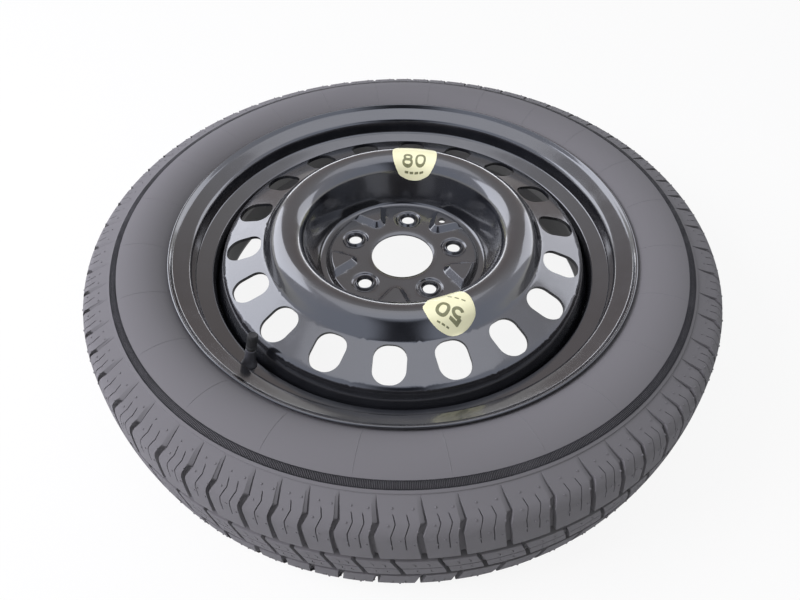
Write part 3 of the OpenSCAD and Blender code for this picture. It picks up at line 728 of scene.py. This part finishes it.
def stroke(spots, width, closed):
    """A pen stroke of even width along spots, as rows of (plan spot, lift): a thin closed ribbon with shut ends."""
    spots = np.array(spots, float)
    t = np.roll(spots, -1, 0) - np.roll(spots, 1, 0) if closed else np.gradient(spots, axis=0)
    t /= np.linalg.norm(t, axis=1)[:, None]
    n = np.stack([-t[:, 1], t[:, 0]], 1) * width / 2
    across = np.array([-1, -1, -0.5, 0, 0.5, 1, 1])
    rows = spots[:, None] + across[None, :, None] * n[:, None]
    lifts = np.tile([0.32, 0.41, 0.43, 0.43, 0.43, 0.41, 0.32], (len(spots), 1))
    if closed:
        return np.concatenate([rows, rows[:1]]), np.concatenate([lifts, lifts[:1]])
    first, last = (np.repeat(end.mean(1, keepdims=True), 7, 1) for end in (rows[:1], rows[-1:]))
    shut = np.full((1, 7), 0.36)
    return np.concatenate([first, rows, last]), np.concatenate([shut, lifts, shut])


def ring_of(middle, half_w, half_h, power=2.4, count=48):
    """A superellipse, x to the power plus y to the power, as a closed line."""
    a = np.linspace(0, 2 * math.pi, count, endpoint=False)
    c, s = np.cos(a), np.sin(a)
    return np.stack([middle[0] + half_w * np.sign(c) * np.abs(c) ** (2 / power),
                     middle[1] + half_h * np.sign(s) * np.abs(s) ** (2 / power)], 1)


def marks_piece(name, turn, digits, size, width, right, up, bars, thick):
    """Digits and plain bars in a frame of right and up, laid on the sticker as ribbons of ink."""
    right, up = np.array(right, float), np.array(up, float)
    drawn = [stroke(np.array(centre) + line[:, :1] * right + line[:, 1:] * up, width, closed)
             for digit, centre in digits for line, closed in digit_strokes(digit, *size)]
    drawn += [stroke(np.linspace(start, end, 6), thick, False) for start, end in bars]
    points, faces = joined([on_crown(rows, turn, lifts) for rows, lifts in drawn], wrap_cols=True)
    add_piece(name, points, faces, "printed_ink", "sticker_vinyl", merge=0.0005, outward=True, sharp=40)


def digit_strokes(digit, height, width):
    """Centre lines of a plain 8, 0 or 5 about its middle: rings, or a bar, a post and an open bowl."""
    if digit == "0":
        return [(ring_of((0, 0), width / 2, height / 2), True)]
    if digit == "8":
        return [(ring_of((0, height * 0.26), width * 0.41, height * 0.24, 2.1), True),
                (ring_of((0, -height * 0.23), width * 0.5, height * 0.27, 2.2), True)]
    corner, foot = np.array([-width * 0.34, height * 0.46]), np.array([-width * 0.42, height * 0.02])
    a = np.radians(np.linspace(138, -140, 34))
    bowl = np.stack([width * (0.47 * np.cos(a) - 0.02), height * (0.31 * np.sin(a) - 0.19)], 1)
    return [(np.linspace([width * 0.46, height * 0.46], corner - [width * 0.1, 0], 8), False),
            (np.linspace(corner + [0, height * 0.05], foot, 8), False),
            (np.concatenate([foot[None], bowl]), False)]


def build_stickers():
    """Both films and the marks printed on them."""
    sticker_sheet("sticker_80", *STICKER_80, "speed_sticker_80")
    sticker_sheet("sticker_50", *STICKER_50, "speed_sticker_50")
    bars = [((-19.6, t), (-19.5, t - 4.2)) for t in (9.0, 3.3, -2.4, -8.1)]
    marks_piece("marks_80", STICKER_80[0], (("8", (-11.2, 6.4)), ("0", (-10.7, -8.2))), (10.2, 9.6), 2.5,
                (0, -1), (1, 0), bars, 0.9)
    bars = [((-8.9, 1.6), (-6.0, 4.6)), ((-4.3, 6.4), (-1.4, 9.3)), ((0.3, 11.1), (2.9, 13.9)),
            ((11.8, -17.7), (13.6, -15.2)), ((14.4, -14.1), (16.2, -11.6)), ((17.0, -10.5), (18.5, -8.5))]
    marks_piece("marks_50", STICKER_50[0], (("5", (12.0, 1.4)), ("0", (3.9, -8.7))), (11.8, 9.4), 3.0,
                (-0.74, -0.64), (0.62, -0.78), bars, 1.3)


# Valve: profiles along its own axis, 0 on the rim's ledge

VALVE_TURN, VALVE_IN = -132.0, 8.1
STEM_R, CAP_LOW, CAP_TOP, CAP_ROOF, CAP_R = 3.85, 18.4, 34.0, 32.3, 4.9


def on_valve(points):
    """Points given along the valve's axis, leant in by the ledge's angle and set on the ledge."""
    ledge = rim_corners()[3]
    lean = math.radians(LEDGE_ANGLE)
    x = points[..., 0] * math.cos(lean) - points[..., 2] * math.sin(lean) + ledge[0] - VALVE_IN
    z = points[..., 0] * math.sin(lean) + points[..., 2] * math.cos(lean) \
        + MID_Z + ledge[1] - VALVE_IN * math.tan(lean)
    return spun(np.stack([x, points[..., 1], z], -1), VALVE_TURN)


def build_valve():
    """The rubber body with its flare, and the cap with its ribs: profiles turned round the valve's axis."""
    body = rounded_path([(STEM_R, -11, 0), (6.4, -11, 0.6), (7.6, -6.45, 1.5), (6.35, -2.95, 0.5), (5.65, -2.95, 0.3),
                         (5.65, 0.15, 0.2), (7.3, 0.15, 0.25), (7.1, 1.4, 0.8), (5.7, 4.4, 4), (5.0, 8.5, 6),
                         (5.0, 17.6, 0.9), (STEM_R, 17.6, 0)], 10)
    grid = on_valve(lathe(filled(body, 1.2), 64))
    piece = add_piece("valve_rubber", grid, grid_faces(*grid.shape[:2], wrap_rows=True, wrap_cols=True),
                      "valve_rubber", "valve_rubber", merge=0.0005, outward=True, sharp=50)
    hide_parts("valve_body")
    outer = rounded_path([(STEM_R + 0.2, CAP_LOW, 0), (CAP_R, CAP_LOW, 0.4), (CAP_R, CAP_LOW + 2.4, 0.3),
                          (CAP_R - 0.35, CAP_LOW + 2.9, 0.3), (CAP_R - 0.2, CAP_TOP - 2.2, 2.0),
                          (CAP_R - 0.6, CAP_TOP, 0.7), (3.4, CAP_TOP - 0.1, 0.5), (2.9, CAP_TOP - 0.45, 0.5),
                          (0, CAP_TOP - 0.5, 0)], 15)
    section = np.concatenate([[(0, CAP_ROOF), (STEM_R + 0.2, CAP_ROOF)], filled(outer, 0.9)])
    ribs, columns = 24, 144
    grid = lathe(section, columns)
    h = grid[..., 2]
    on = ease(h, CAP_LOW + 3.0, CAP_LOW + 3.6) * (1 - ease(h, CAP_TOP - 2.6, CAP_TOP - 1.6)) * (section[:, :1] > 4.2)
    wave = np.clip(1.5 * np.cos(np.arange(columns) * 2 * math.pi * ribs / columns), -0.5, 1)
    grid[..., :2] *= (1 + on * wave * 0.2 / CAP_R)[..., None]
    piece = add_piece("valve_cap_ribbed", on_valve(grid), grid_faces(*grid.shape[:2], wrap_cols=True), "cap_plastic",
                      "cap_plastic", body="cap", merge=0.0005, outward=True, sharp=45)
    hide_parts("valve_cap")


# Tyre

SIDE_R, SIDE_ROUND, HALF_W = 268.5, 50.0, 68.0
STEP_R, STEP_H = 290.5, 1.2
SHOULDER_SLOPE, SHOULDER_ROUND, TREAD_ROUND = 18.0, 16.0, 275.0
GROOVE_AT, GROOVE_W, GROOVE_D = 16.2, 6.0, 6.0


def tread_at(h):
    return TYRE_R - h * h / (2 * TREAD_ROUND)


def side_angle(r):
    return math.degrees(math.acos((r - SIDE_R) / SIDE_ROUND))


def step_foot():
    a = math.radians(side_angle(STEP_R))
    return SIDE_R + SIDE_ROUND * math.cos(a) + 0.5, HALF_W - SIDE_ROUND + SIDE_ROUND * math.sin(a) - STEP_H


def shoulder_path():
    """The shoulder's face from the step line round to the main groove, then down the groove's wall."""
    foot = step_foot()
    turn_h = foot[1] - (TYRE_R - 5 - foot[0]) * math.tan(math.radians(SHOULDER_SLOPE))
    end_h = turn_h - 0.65 * SHOULDER_ROUND
    over = rounded_path([(*foot, 0), (TYRE_R - 5, turn_h, SHOULDER_ROUND), (tread_at(end_h), end_h, 0)], 6)
    heights = np.linspace(end_h, GROOVE_AT + GROOVE_W / 2, 7)[1:]
    return np.concatenate([over, np.stack([tread_at(heights), heights], 1)])


def casing_section():
    """The casing's section: beads, sidewalls, a base under the tread and the inner wall."""
    bead = shifted(rim_corners(), -RIM_T - 0.15)
    seat, curl = np.array(bead[2][:2]), np.array(bead[1][:2])
    slope = (bead[2][0] - bead[3][0]) / (bead[2][1] - bead[3][1])
    toe = np.array([seat[0] - 14 * slope, seat[1] - 14])
    side = arc((SIDE_R, HALF_W - SIDE_ROUND), SIDE_ROUND, side_angle(curl[0] + 6.6), side_angle(STEP_R), 26)
    foot = step_foot()
    over = shoulder_path()
    base = over - 6.2 * normals_of(over) * np.interp(stations(over), [0, 20], [0.05, 1])[:, None]
    floor = np.array([[tread_at(GROOVE_AT) - 6.2, h] for h in (18, 6, 0)])
    outer = np.concatenate([toe[None], rounded_path([(*toe, 0), (*seat, 3), (*curl, 0)])[1:], side,
                            np.array([foot]) + [[0, -0.05]], base[1:], floor])
    turn_h = foot[1] - (TYRE_R - 5 - foot[0]) * math.tan(math.radians(SHOULDER_SLOPE))
    cavity_h = HALF_W - 6.5
    inner = rounded_path([(TYRE_R - 11.5, 0, 0), (TYRE_R - 13, turn_h - 7.25, 14), (SIDE_R + 14.5, cavity_h, 20),
                          (SIDE_R - 21.5, cavity_h, 25), (toe[0] + 11.3, toe[1] + 3.5, 8), (*toe, 0)], 8)
    low_outer = outer[::-1][1:] * [1, -1]
    low_inner = inner[::-1][1:-1] * [1, -1]
    section = np.concatenate([outer, low_outer, low_inner, inner[:-1]])
    return section + np.array([0, MID_Z])


# The tread's order of pitches: three lengths mixed so that the tyre doesn't hum, repeated round it
PITCH_WEIGHTS = np.array([0.811, 1.0, 1.2])
PITCH_UNIT = [1, 0, 1, 0, 0, 0, 1, 2, 1, 2, 2, 2]
PITCH_ORDER = PITCH_UNIT * 5 + [1, 0, 1, 0, 1, 2, 1, 2]
PITCH_START = -126.5
SLOT_D = 4.4


def pitch_turns():
    """Turns at which the tread's pitches begin and the last one ends."""
    edges = np.concatenate([[0], np.cumsum(PITCH_WEIGHTS[PITCH_ORDER])])
    return PITCH_START + 360 * edges / edges[-1]


def normals_of(path):
    """Outward normals of a path whose solid lies to its right."""
    t = np.gradient(path, axis=0)
    t /= np.linalg.norm(t, axis=1)[:, None]
    return np.stack([-t[:, 1], t[:, 0]], 1)


def carved(path, normal, columns):
    """A ring of points whose columns hold a turn and a depth for each point of the path, sunk against its normal."""
    turn, down = (np.stack(parts, 1) for parts in zip(*columns))
    return polar(path[:, :1] - down * normal[:, :1], turn, MID_Z + path[:, 1:] - down * normal[:, 1:])


def shoulder_block():
    """One shoulder ring: blocks between kinked slots, with one fine kinked sipe in a short block and two in others.

    Rows follow the section, columns follow each slot's kinks, and depth is taken along the normal."""
    path = filled(shoulder_path(), 1.5)
    end = path[-1]
    wall = np.array([[end[0] - GROOVE_D * t, end[1] - 0.9 * t] for t in (0.06, 0.3, 0.7, 1.0)])
    wall[0, 1] -= 0.3
    normal = normals_of(path)
    normal = np.concatenate([normal, np.repeat(normal[-1:], 4, 0)])
    inner = len(path) - 1
    path = np.concatenate([path, wall])
    s = stations(path)
    kink1, kink2 = (float(np.interp(r, path[:28, 0], s[:28])) for r in (309.6, 318.3))
    last = s[inner]
    right = np.interp(s, [0, kink1, kink2, last], [0, 0.70, 0.05, 0.75])
    width = np.interp(s, [0, kink1 * 0.35, kink1, kink2, last], [0.2, 0.85, 1.02, 0.98, 0.9])
    depth = np.interp(s, [0, 2.5, kink1 * 0.7, kink1 + 3, last], [0.0, 0.9, 3.0, SLOT_D, SLOT_D])
    depth = np.where(s > last, np.interp(s, [last, s[-1]], [SLOT_D, 0.3]), depth)
    open_up = ease(s, kink1 - 1, kink1 + 3)
    shelf = np.interp(open_up, [0, 1], [0.45, 0.9]) * depth
    shelf_at = np.interp(open_up, [0, 1], [0.66, 0.12])
    floor_at = np.interp(open_up, [0, 1], [0.74, 0.2])
    sipe_on = ease(s, 13.0, 14.0) * (1 - ease(s, last - 15.5, last - 14.5))
    sipe_shift = np.interp(s, [13, kink1 + 0.5, kink2, last - 14], [0, 0.35, -0.22, 0.03])
    to_deg = np.degrees(1 / path[:, 0])
    turns = pitch_turns()
    columns = []
    for size, begin, finish_turn in zip(PITCH_ORDER, turns, turns[1:]):
        span = finish_turn - begin
        edge = begin + right
        columns += [(edge - width, 0 * s), (edge - width * (1 - shelf_at), shelf),
                    (edge - width * (1 - floor_at), depth), (edge - 0.06, depth), (edge, 0 * s)]
        for part in ((0.43,) if size == 0 else (0.33, 0.62)):
            line = begin + 0.3 + part * span + sipe_shift
            columns += [(line - 0.45 * to_deg, 0 * s), (line, 2.0 * sipe_on), (line + 0.45 * to_deg, 0 * s)]
        columns += [(begin + 0.86 * span + 0.6 * right, 0 * s)]
    return [carved(path, normal, columns)]


def centre_rib(inboard):
    """Half of the centre rib: blocks parted by slanting gaps, each with two small arrow shaped sipes."""
    top = GROOVE_AT - GROOVE_W / 2
    heights = np.concatenate([[top + 0.9, top + 0.5, top + 0.1], np.linspace(top - 0.3, 0.6, 13), [0.5]])
    r = tread_at(heights)
    r[:3] -= [GROOVE_D, 2.6, 0.35]
    r[-1] -= 3.0
    s = np.clip((top - heights) / top, 0, 1)
    depth = np.full(len(heights), SLOT_D)
    depth[0], depth[1], depth[-1] = 0.0, 2.2, 1.5
    arrow = 1 - np.abs(s - 0.5) / 0.22
    on = np.clip(arrow * 6, 0, 1)
    turns = pitch_turns()
    columns = []
    for begin, finish_turn in zip(turns, turns[1:]):
        span = finish_turn - begin
        middle = begin + (3.9 - 0.6 * s if inboard else 2.4 + 0.9 * s)
        half = np.degrees(1.9 / r)
        slim = np.degrees(0.25 / r)
        columns += [(middle - half, 0 * s), (middle - half + slim, depth), (middle + half - slim, depth),
                    (middle + half, 0 * s)]
        for part in (0.38, 0.68):
            line = middle + part * span + np.clip(arrow, -0.3, 1) * (-0.28 if inboard else 0.28)
            edge = np.degrees(0.4 / r)
            columns += [(line - edge, 0 * s), (line, 1.6 * on), (line + edge, 0 * s)]
    return [carved(np.stack([r, heights], 1), np.array([[1, 0]]), columns)]


# Pips in each shoulder block, as distance along the shoulder's section and share of the block's length
PIPS = ((9.0, 0.3), (9.5, 0.8), (21.0, 0.22), (25.0, 0.9), (33.0, 0.5), (38.5, 0.3), (39.0, 0.82))


def spews():
    """Small round pips left by the mould's vents: low domes set in rows on each shoulder block."""
    path = shoulder_path()
    rings = np.array([(0.85, -0.1), (0.8, 0.4), (0.5, 0.6), (0.02, 0.65)])
    b = np.linspace(0, 2 * math.pi, 8, endpoint=False)
    u, v = rings[:, :1] * np.cos(b), rings[:, :1] * np.sin(b)
    begin, end = pitch_turns()[:-1], pitch_turns()[1:]
    domes = []
    for at, part in PIPS:
        spot = along(path, at)
        tangent = unit(along(path, at + 0.5) - along(path, at - 0.5))
        r = spot[0] + u * tangent[0] - rings[:, 1:] * tangent[1]
        h = spot[1] + u * tangent[1] + rings[:, 1:] * tangent[0]
        turn = (begin + 0.5 + part * (end - begin - 0.6))[:, None, None] + np.degrees(v / spot[0])
        domes.append(polar(r, turn, MID_Z + h))
    return np.concatenate(domes)


def sidewall_point(r, turn, lift):
    """Points on the sidewall at radius r and turn in degrees, lifted off it by lift."""
    up = np.sqrt(SIDE_ROUND ** 2 - (r - SIDE_R) ** 2)
    k = lift / SIDE_ROUND
    return polar(r + k * (r - SIDE_R), turn, MID_Z + HALF_W - SIDE_ROUND + up * (1 + k))


def serrations():
    """A band of fine radial ribs: a wave of height along the turn, eased out at both edges of the band."""
    ribs = 1380
    wave = np.tile([0.02, 0.55, 0.55, 0.02], ribs)
    r = np.array([281.7, 282.1, 288.0, 288.4])
    lift = np.array([-0.1, 1, 1, -0.1])[:, None] * wave
    return [sidewall_point(r[:, None], np.arange(ribs * 4) * 360 / (ribs * 4), lift)]


def mould_lines():
    """Thin radial ridges, left on the sidewall by the joints of its mould."""
    lines, rows, apart = 24, 16, 15.0
    turn = 7.5 + apart * np.arange(lines)[:, None, None]
    r = np.linspace(236, 281.5, rows)[:, None]
    across = np.degrees(np.array([0.45, 0.15, -0.15, -0.45]) / r)
    lift = np.tile([-0.08, 0.22, 0.22, -0.08], (rows, 1))
    lift[[0, -1]] = -0.08
    return sidewall_point(r, turn + across, lift)


def build_tyre():
    """The casing, and on each side the shoulder ring, half the centre rib, the serrated band and the mould's marks."""
    casing = lathe_piece("tyre_casing", filled(casing_section(), 4.0), "tyre_rubber", slot="tyre_rubber",
                         merge=0.0005, sharp=35)
    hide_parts("tyre")
    for name, make, look in (("shoulder", shoulder_block, "tyre_rubber"), ("centre_rib", centre_rib, "tyre_rubber"),
                             ("spews", spews, "tyre_rubber"), ("mould_lines", mould_lines, "tyre_rubber"),
                             ("serrations", serrations, "serrated_rubber_painted_shade")):
        for side, inboard in (("outboard", False), ("inboard", True)):
            # Only the cuts of the centre rib differ from one side to the other
            grids = make(inboard) if make is centre_rib else make()
            points, faces = joined(grids, wrap_cols=name != "mould_lines")
            if inboard:
                points, faces = points * [1, 1, -1] + [0, 0, 2 * MID_Z], faces[:, ::-1]
            is_dome = name == "spews"
            add_piece(f"tyre_{name}_{side}", points, faces, look, "tyre_rubber", merge=0.025 if is_dome else 0,
                      outward=is_dome, sharp=30)


class WheelLook(bpy.types.PropertyGroup):
    """Colours that a user would change."""

    enamel: FloatVectorProperty(name="Enamel", description="Colour of the painted steel", subtype="COLOR",
                                size=3, min=0, max=1, default=linear("#191a1e")[:3])
    rubber: FloatVectorProperty(name="Rubber", description="Colour of the tyre", subtype="COLOR",
                                size=3, min=0, max=1, default=linear("#3c3b3f")[:3])
    vinyl: FloatVectorProperty(name="Vinyl", description="Colour of the speed stickers", subtype="COLOR",
                               size=3, min=0, max=1, default=linear("#fffb96")[:3])


class StudioLook(bpy.types.PropertyGroup):
    """Camera and light."""

    lens: FloatProperty(name="Lens", description="Focal length of the camera", unit="CAMERA", default=27.75)
    dip: FloatProperty(name="Dip", description="Angle of the view below level", subtype="ANGLE",
                       default=math.radians(48.277))
    heading: FloatProperty(name="Heading", description="Turn of the view round the axis", subtype="ANGLE",
                           default=math.radians(90.305))
    roll: FloatProperty(name="Roll", description="Roll of the camera", subtype="ANGLE", default=math.radians(-0.065))
    key: FloatProperty(name="Key light", description="Power of the overhead panel", unit="POWER", default=7.0)
    left: FloatProperty(name="Left light", description="Power of the panel behind on the left", unit="POWER",
                        default=17.0)
    right: FloatProperty(name="Right light", description="Power of the panel behind on the right", unit="POWER",
                         default=7.0)
    strip: FloatProperty(name="Back strip", description="Power of the low strip behind the wheel", unit="POWER",
                         default=9.0)
    fill: FloatProperty(name="Fill light", description="Power of the soft panel on the left, not seen in gloss",
                        unit="POWER", default=60.0)


class WHEEL_OT_rim(bpy.types.Operator):
    """Puts the rolled rim in enamel"""
    bl_idname = "wheel.rim"
    bl_label = "Rim"

    def execute(self, context):
        piece = lathe_piece("rim_steel", filled(rim_section(), 5.0), "black_enamel", columns=300, slot="black_paint")
        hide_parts("rim")
        return {"FINISHED"}


class WHEEL_OT_disc(bpy.types.Operator):
    """Builds the pressed disc with its pads, bolt seats and vents"""
    bl_idname = "wheel.disc"
    bl_label = "Disc"

    def execute(self, context):
        build_disc()
        build_pads()
        return {"FINISHED"}


class WHEEL_OT_tyre(bpy.types.Operator):
    """Builds the tyre's casing, shoulders, centre rib, serrated bands and mould marks"""
    bl_idname = "wheel.tyre"
    bl_label = "Tyre"

    def execute(self, context):
        build_tyre()
        return {"FINISHED"}


class WHEEL_OT_stickers(bpy.types.Operator):
    """Builds the two speed stickers and the marks printed on them"""
    bl_idname = "wheel.stickers"
    bl_label = "Speed stickers"

    def execute(self, context):
        build_stickers()
        return {"FINISHED"}


class WHEEL_OT_valve(bpy.types.Operator):
    """Builds the valve's rubber body and its cap"""
    bl_idname = "wheel.valve"
    bl_label = "Valve"

    def execute(self, context):
        build_valve()
        return {"FINISHED"}


NODE_FINISHES = {
    "disc_welds": "weld_bead",
    "valve_stem": "turned_brass",
    "valve_core_barrel": "plated_brass",
    "valve_core_barrel_seal": "red_seal",
    "valve_core_pin": "pin_brass",
    "valve_core_cup_seal": "black_seal",
    "valve_core_spring": "spring_wire",
    "valve_cap_gasket": "gasket_rubber",
}


class WHEEL_OT_small_parts(bpy.types.Operator):
    """Gives each small CAD node that stays its own finish"""
    bl_idname = "wheel.small_parts"
    bl_label = "Small parts"

    def execute(self, context):
        for node, name in NODE_FINISHES.items():
            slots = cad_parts[node].data.materials
            slots.clear()
            slots.append(finish(name))
        return {"FINISHED"}


def look_from(scene, studio):
    """Puts the camera where the photo was taken: 481.2 mm in front of the axis and 468.4 mm above the hub face."""
    data = bpy.data.cameras.new("photo_camera")
    data.lens, data.sensor_width, data.clip_end = studio.lens, 36, 100
    made = bpy.data.objects.new("photo_camera", data)
    scene.collection.objects.link(made)
    h, d = studio.heading, studio.dip
    forward = Vector((math.cos(h) * math.cos(d), math.sin(h) * math.cos(d), -math.sin(d)))
    right = Vector((math.sin(h), -math.cos(h), 0))
    up = right.cross(forward)
    level = Matrix((right, up, -forward)).transposed()
    made.matrix_world = Matrix.Translation((0, -0.48123, 0.46844)) @ \
        (level @ Matrix.Rotation(studio.roll, 3, "Z")).to_4x4()
    scene.camera = made


def area_light(name, place, size, power, colour):
    """A rectangular softbox at place, turned towards the wheel's middle."""
    data = bpy.data.lights.new(name, "AREA")
    data.shape, data.size, data.size_y, data.energy = "RECTANGLE", *size, power
    data.color = linear(colour)[:3]
    made = bpy.data.objects.new(name, data)
    made.location = place
    made.rotation_euler = (-Vector(place)).to_track_quat("-Z", "Y").to_euler()
    bpy.context.scene.collection.objects.link(made)
    return made


def lay_floor(scene):
    """A pale paper floor under the wheel's lowest point, white to the eye and plain to other light.

    Gloss sees it mostly as it is lit, so that the space under the disc stays dark."""
    half, z = 6.0, CAD_BOX[0][2]
    paper = Surface("floor_paper", Base_Color=grey(0.8), Roughness=0.9)
    tree = paper.tree
    ray = add_node(tree, "ShaderNodeLightPath").outputs
    clear = add_node(tree, "ShaderNodeMath", {0: ray["Is Glossy Ray"], 1: ray["Is Transmission Ray"]},
                     operation="MAXIMUM")
    gloss_share = add_node(tree, "ShaderNodeMath", {0: clear.outputs[0]}, operation="MULTIPLY")
    gloss_share.inputs[1].default_value = 0.12
    share = add_node(tree, "ShaderNodeMath", {0: ray["Is Camera Ray"], 2: gloss_share.outputs[0]},
                     operation="MULTIPLY_ADD")
    share.inputs[1].default_value = 0.9
    white = add_node(tree, "ShaderNodeEmission", Color=grey(1.0), Strength=1.0)
    mix = add_node(tree, "ShaderNodeMixShader", {0: share.outputs[0], 1: paper.shader.outputs["BSDF"],
                                                 2: white.outputs["Emission"]})
    tree.links.new(mix.outputs[0], paper.output.inputs["Surface"])
    mesh = bpy.data.meshes.new("floor")
    mesh.from_pydata([(-half, -half, z), (half, -half, z), (half, half, z), (-half, half, z)], [], [(0, 1, 2, 3)])
    mesh.materials.append(paper.material)
    floor = bpy.data.objects.new("floor", mesh)
    scene.collection.objects.link(floor)


def light_world(scene):
    """A plain world: white to the eye, dimmer as light on the object, and to gloss white with a dark flag.

    The flag stands in front, over the camera; the light is cooler in front and greyer behind."""
    world = bpy.data.worlds.new("studio")
    scene.world = world
    world.use_nodes = True
    tree = world.node_tree
    tree.nodes.clear()
    ray = add_node(tree, "ShaderNodeLightPath").outputs
    aim = add_node(tree, "ShaderNodeTexCoord").outputs["Generated"]
    toward = add_node(tree, "ShaderNodeSeparateXYZ", {0: aim}).outputs
    aside = add_node(tree, "ShaderNodeMath", {0: toward["X"]}, operation="ABSOLUTE")
    rise = {}
    for key, value, start, end, low, high in (
            ("flag", aside.outputs[0], 0.08, 0.42, 0.03, 1.0), ("behind", toward["Y"], -0.3, 0.1, 0.0, 1.0),
            ("above", toward["Z"], 0.8, 0.96, 0.0, 1.0), ("low", toward["Z"], 0.1, 0.25, 1.0, 0.0)):
        made = add_node(tree, "ShaderNodeMapRange", {"Value": value}, interpolation_type="SMOOTHSTEP",
                        From_Min=start, From_Max=end, To_Min=low, To_Max=high)
        rise[key] = made.outputs[0]
    open_sky = add_node(tree, "ShaderNodeMath", {0: rise["behind"], 1: rise["above"]}, operation="MAXIMUM")
    front = add_node(tree, "ShaderNodeMath", {0: rise["flag"], 1: open_sky.outputs[0]}, operation="MAXIMUM")
    part = add_node(tree, "ShaderNodeMapRange", {"Value": toward["Y"]}, From_Min=-1.0, From_Max=1.0)
    tint = add_node(tree, "ShaderNodeValToRGB", {"Fac": part.outputs[0]},
                    stops=[(0.25, linear("#e2eaff")), (0.62, linear("#f0f2ff")), (0.78, linear("#d8d6da")),
                           (0.93, linear("#b0a8a8"))])
    colour = add_node(tree, "ShaderNodeMix", {0: rise["low"], 6: tint.outputs["Color"]}, data_type="RGBA")
    colour.inputs[7].default_value = grey(1.0)
    clear = add_node(tree, "ShaderNodeMath", {0: ray["Is Glossy Ray"], 1: ray["Is Transmission Ray"]},
                     operation="MAXIMUM")
    plain = add_node(tree, "ShaderNodeBackground", Color=grey(1.0), Strength=0.42)
    studio = add_node(tree, "ShaderNodeBackground", {"Color": colour.outputs[2], "Strength": front.outputs[0]})
    white = add_node(tree, "ShaderNodeBackground", Color=grey(1.0), Strength=1.0)
    lit = add_node(tree, "ShaderNodeMixShader", {0: clear.outputs[0], 1: plain.outputs[0], 2: studio.outputs[0]})
    seen = add_node(tree, "ShaderNodeMixShader", {0: ray["Is Camera Ray"], 1: lit.outputs[0], 2: white.outputs[0]})
    add_node(tree, "ShaderNodeOutputWorld", {"Surface": seen.outputs[0]})


class WHEEL_OT_stage(bpy.types.Operator):
    """Floor, lights and camera"""
    bl_idname = "wheel.stage"
    bl_label = "Stage"

    def execute(self, context):
        scene = context.scene
        studio = scene.wheel_studio
        lay_floor(scene)
        light_world(scene)
        area_light("overhead_panel", (0, 0.1, 2.0), (2.0, 1.7), studio.key, "#f4f6ff")
        left = area_light("left_panel", (-1.37, 0.96, 1.09), (1.45, 1.5), studio.left, "#eef2ff")
        right = area_light("right_panel", (1.46, 1.14, 0.8), (1.0, 1.3), studio.right, "#eef2ff")
        strip = area_light("back_strip", (0, 2.8, 0.24), (3.4, 0.26), studio.strip, "#f4f6ff")
        fill = area_light("fill_panel", (-1.9, -0.35, 1.45), (1.3, 1.3), studio.fill, "#f6f4ff")
        fill.visible_glossy = False
        for lamp in (left, right, strip):
            lamp.visible_diffuse = False
        look_from(scene, studio)
        scene.view_settings.view_transform = "Standard"
        return {"FINISHED"}


OPERATORS = (WHEEL_OT_rim, WHEEL_OT_disc, WHEEL_OT_tyre, WHEEL_OT_stickers, WHEEL_OT_valve, WHEEL_OT_small_parts,
             WHEEL_OT_stage)


class WHEEL_PT_panel(bpy.types.Panel):
    """Lists the pieces of the spare wheel"""
    bl_idname = "WHEEL_PT_panel"
    bl_label = "Spare wheel"
    bl_space_type = "VIEW_3D"
    bl_region_type = "UI"
    bl_category = "Spare wheel"

    def draw(self, context):
        for group in (context.scene.wheel_look, context.scene.wheel_studio):
            for key in group.bl_rna.properties.keys()[2:]:
                self.layout.prop(group, key)
        for kind in OPERATORS:
            self.layout.operator(kind.bl_idname)


CLASSES = (WheelLook, StudioLook, *OPERATORS, WHEEL_PT_panel)


def register():
    for kind in CLASSES:
        bpy.utils.register_class(kind)
    bpy.types.Scene.wheel_look = PointerProperty(type=WheelLook)
    bpy.types.Scene.wheel_studio = PointerProperty(type=StudioLook)


def unregister():
    del bpy.types.Scene.wheel_studio
    del bpy.types.Scene.wheel_look
    for kind in reversed(CLASSES):
        bpy.utils.unregister_class(kind)


def main():
    register()
    for kind in OPERATORS:
        group, name = kind.bl_idname.split(".")
        getattr(getattr(bpy.ops, group), name)()


if __name__ == "__main__":
    main()
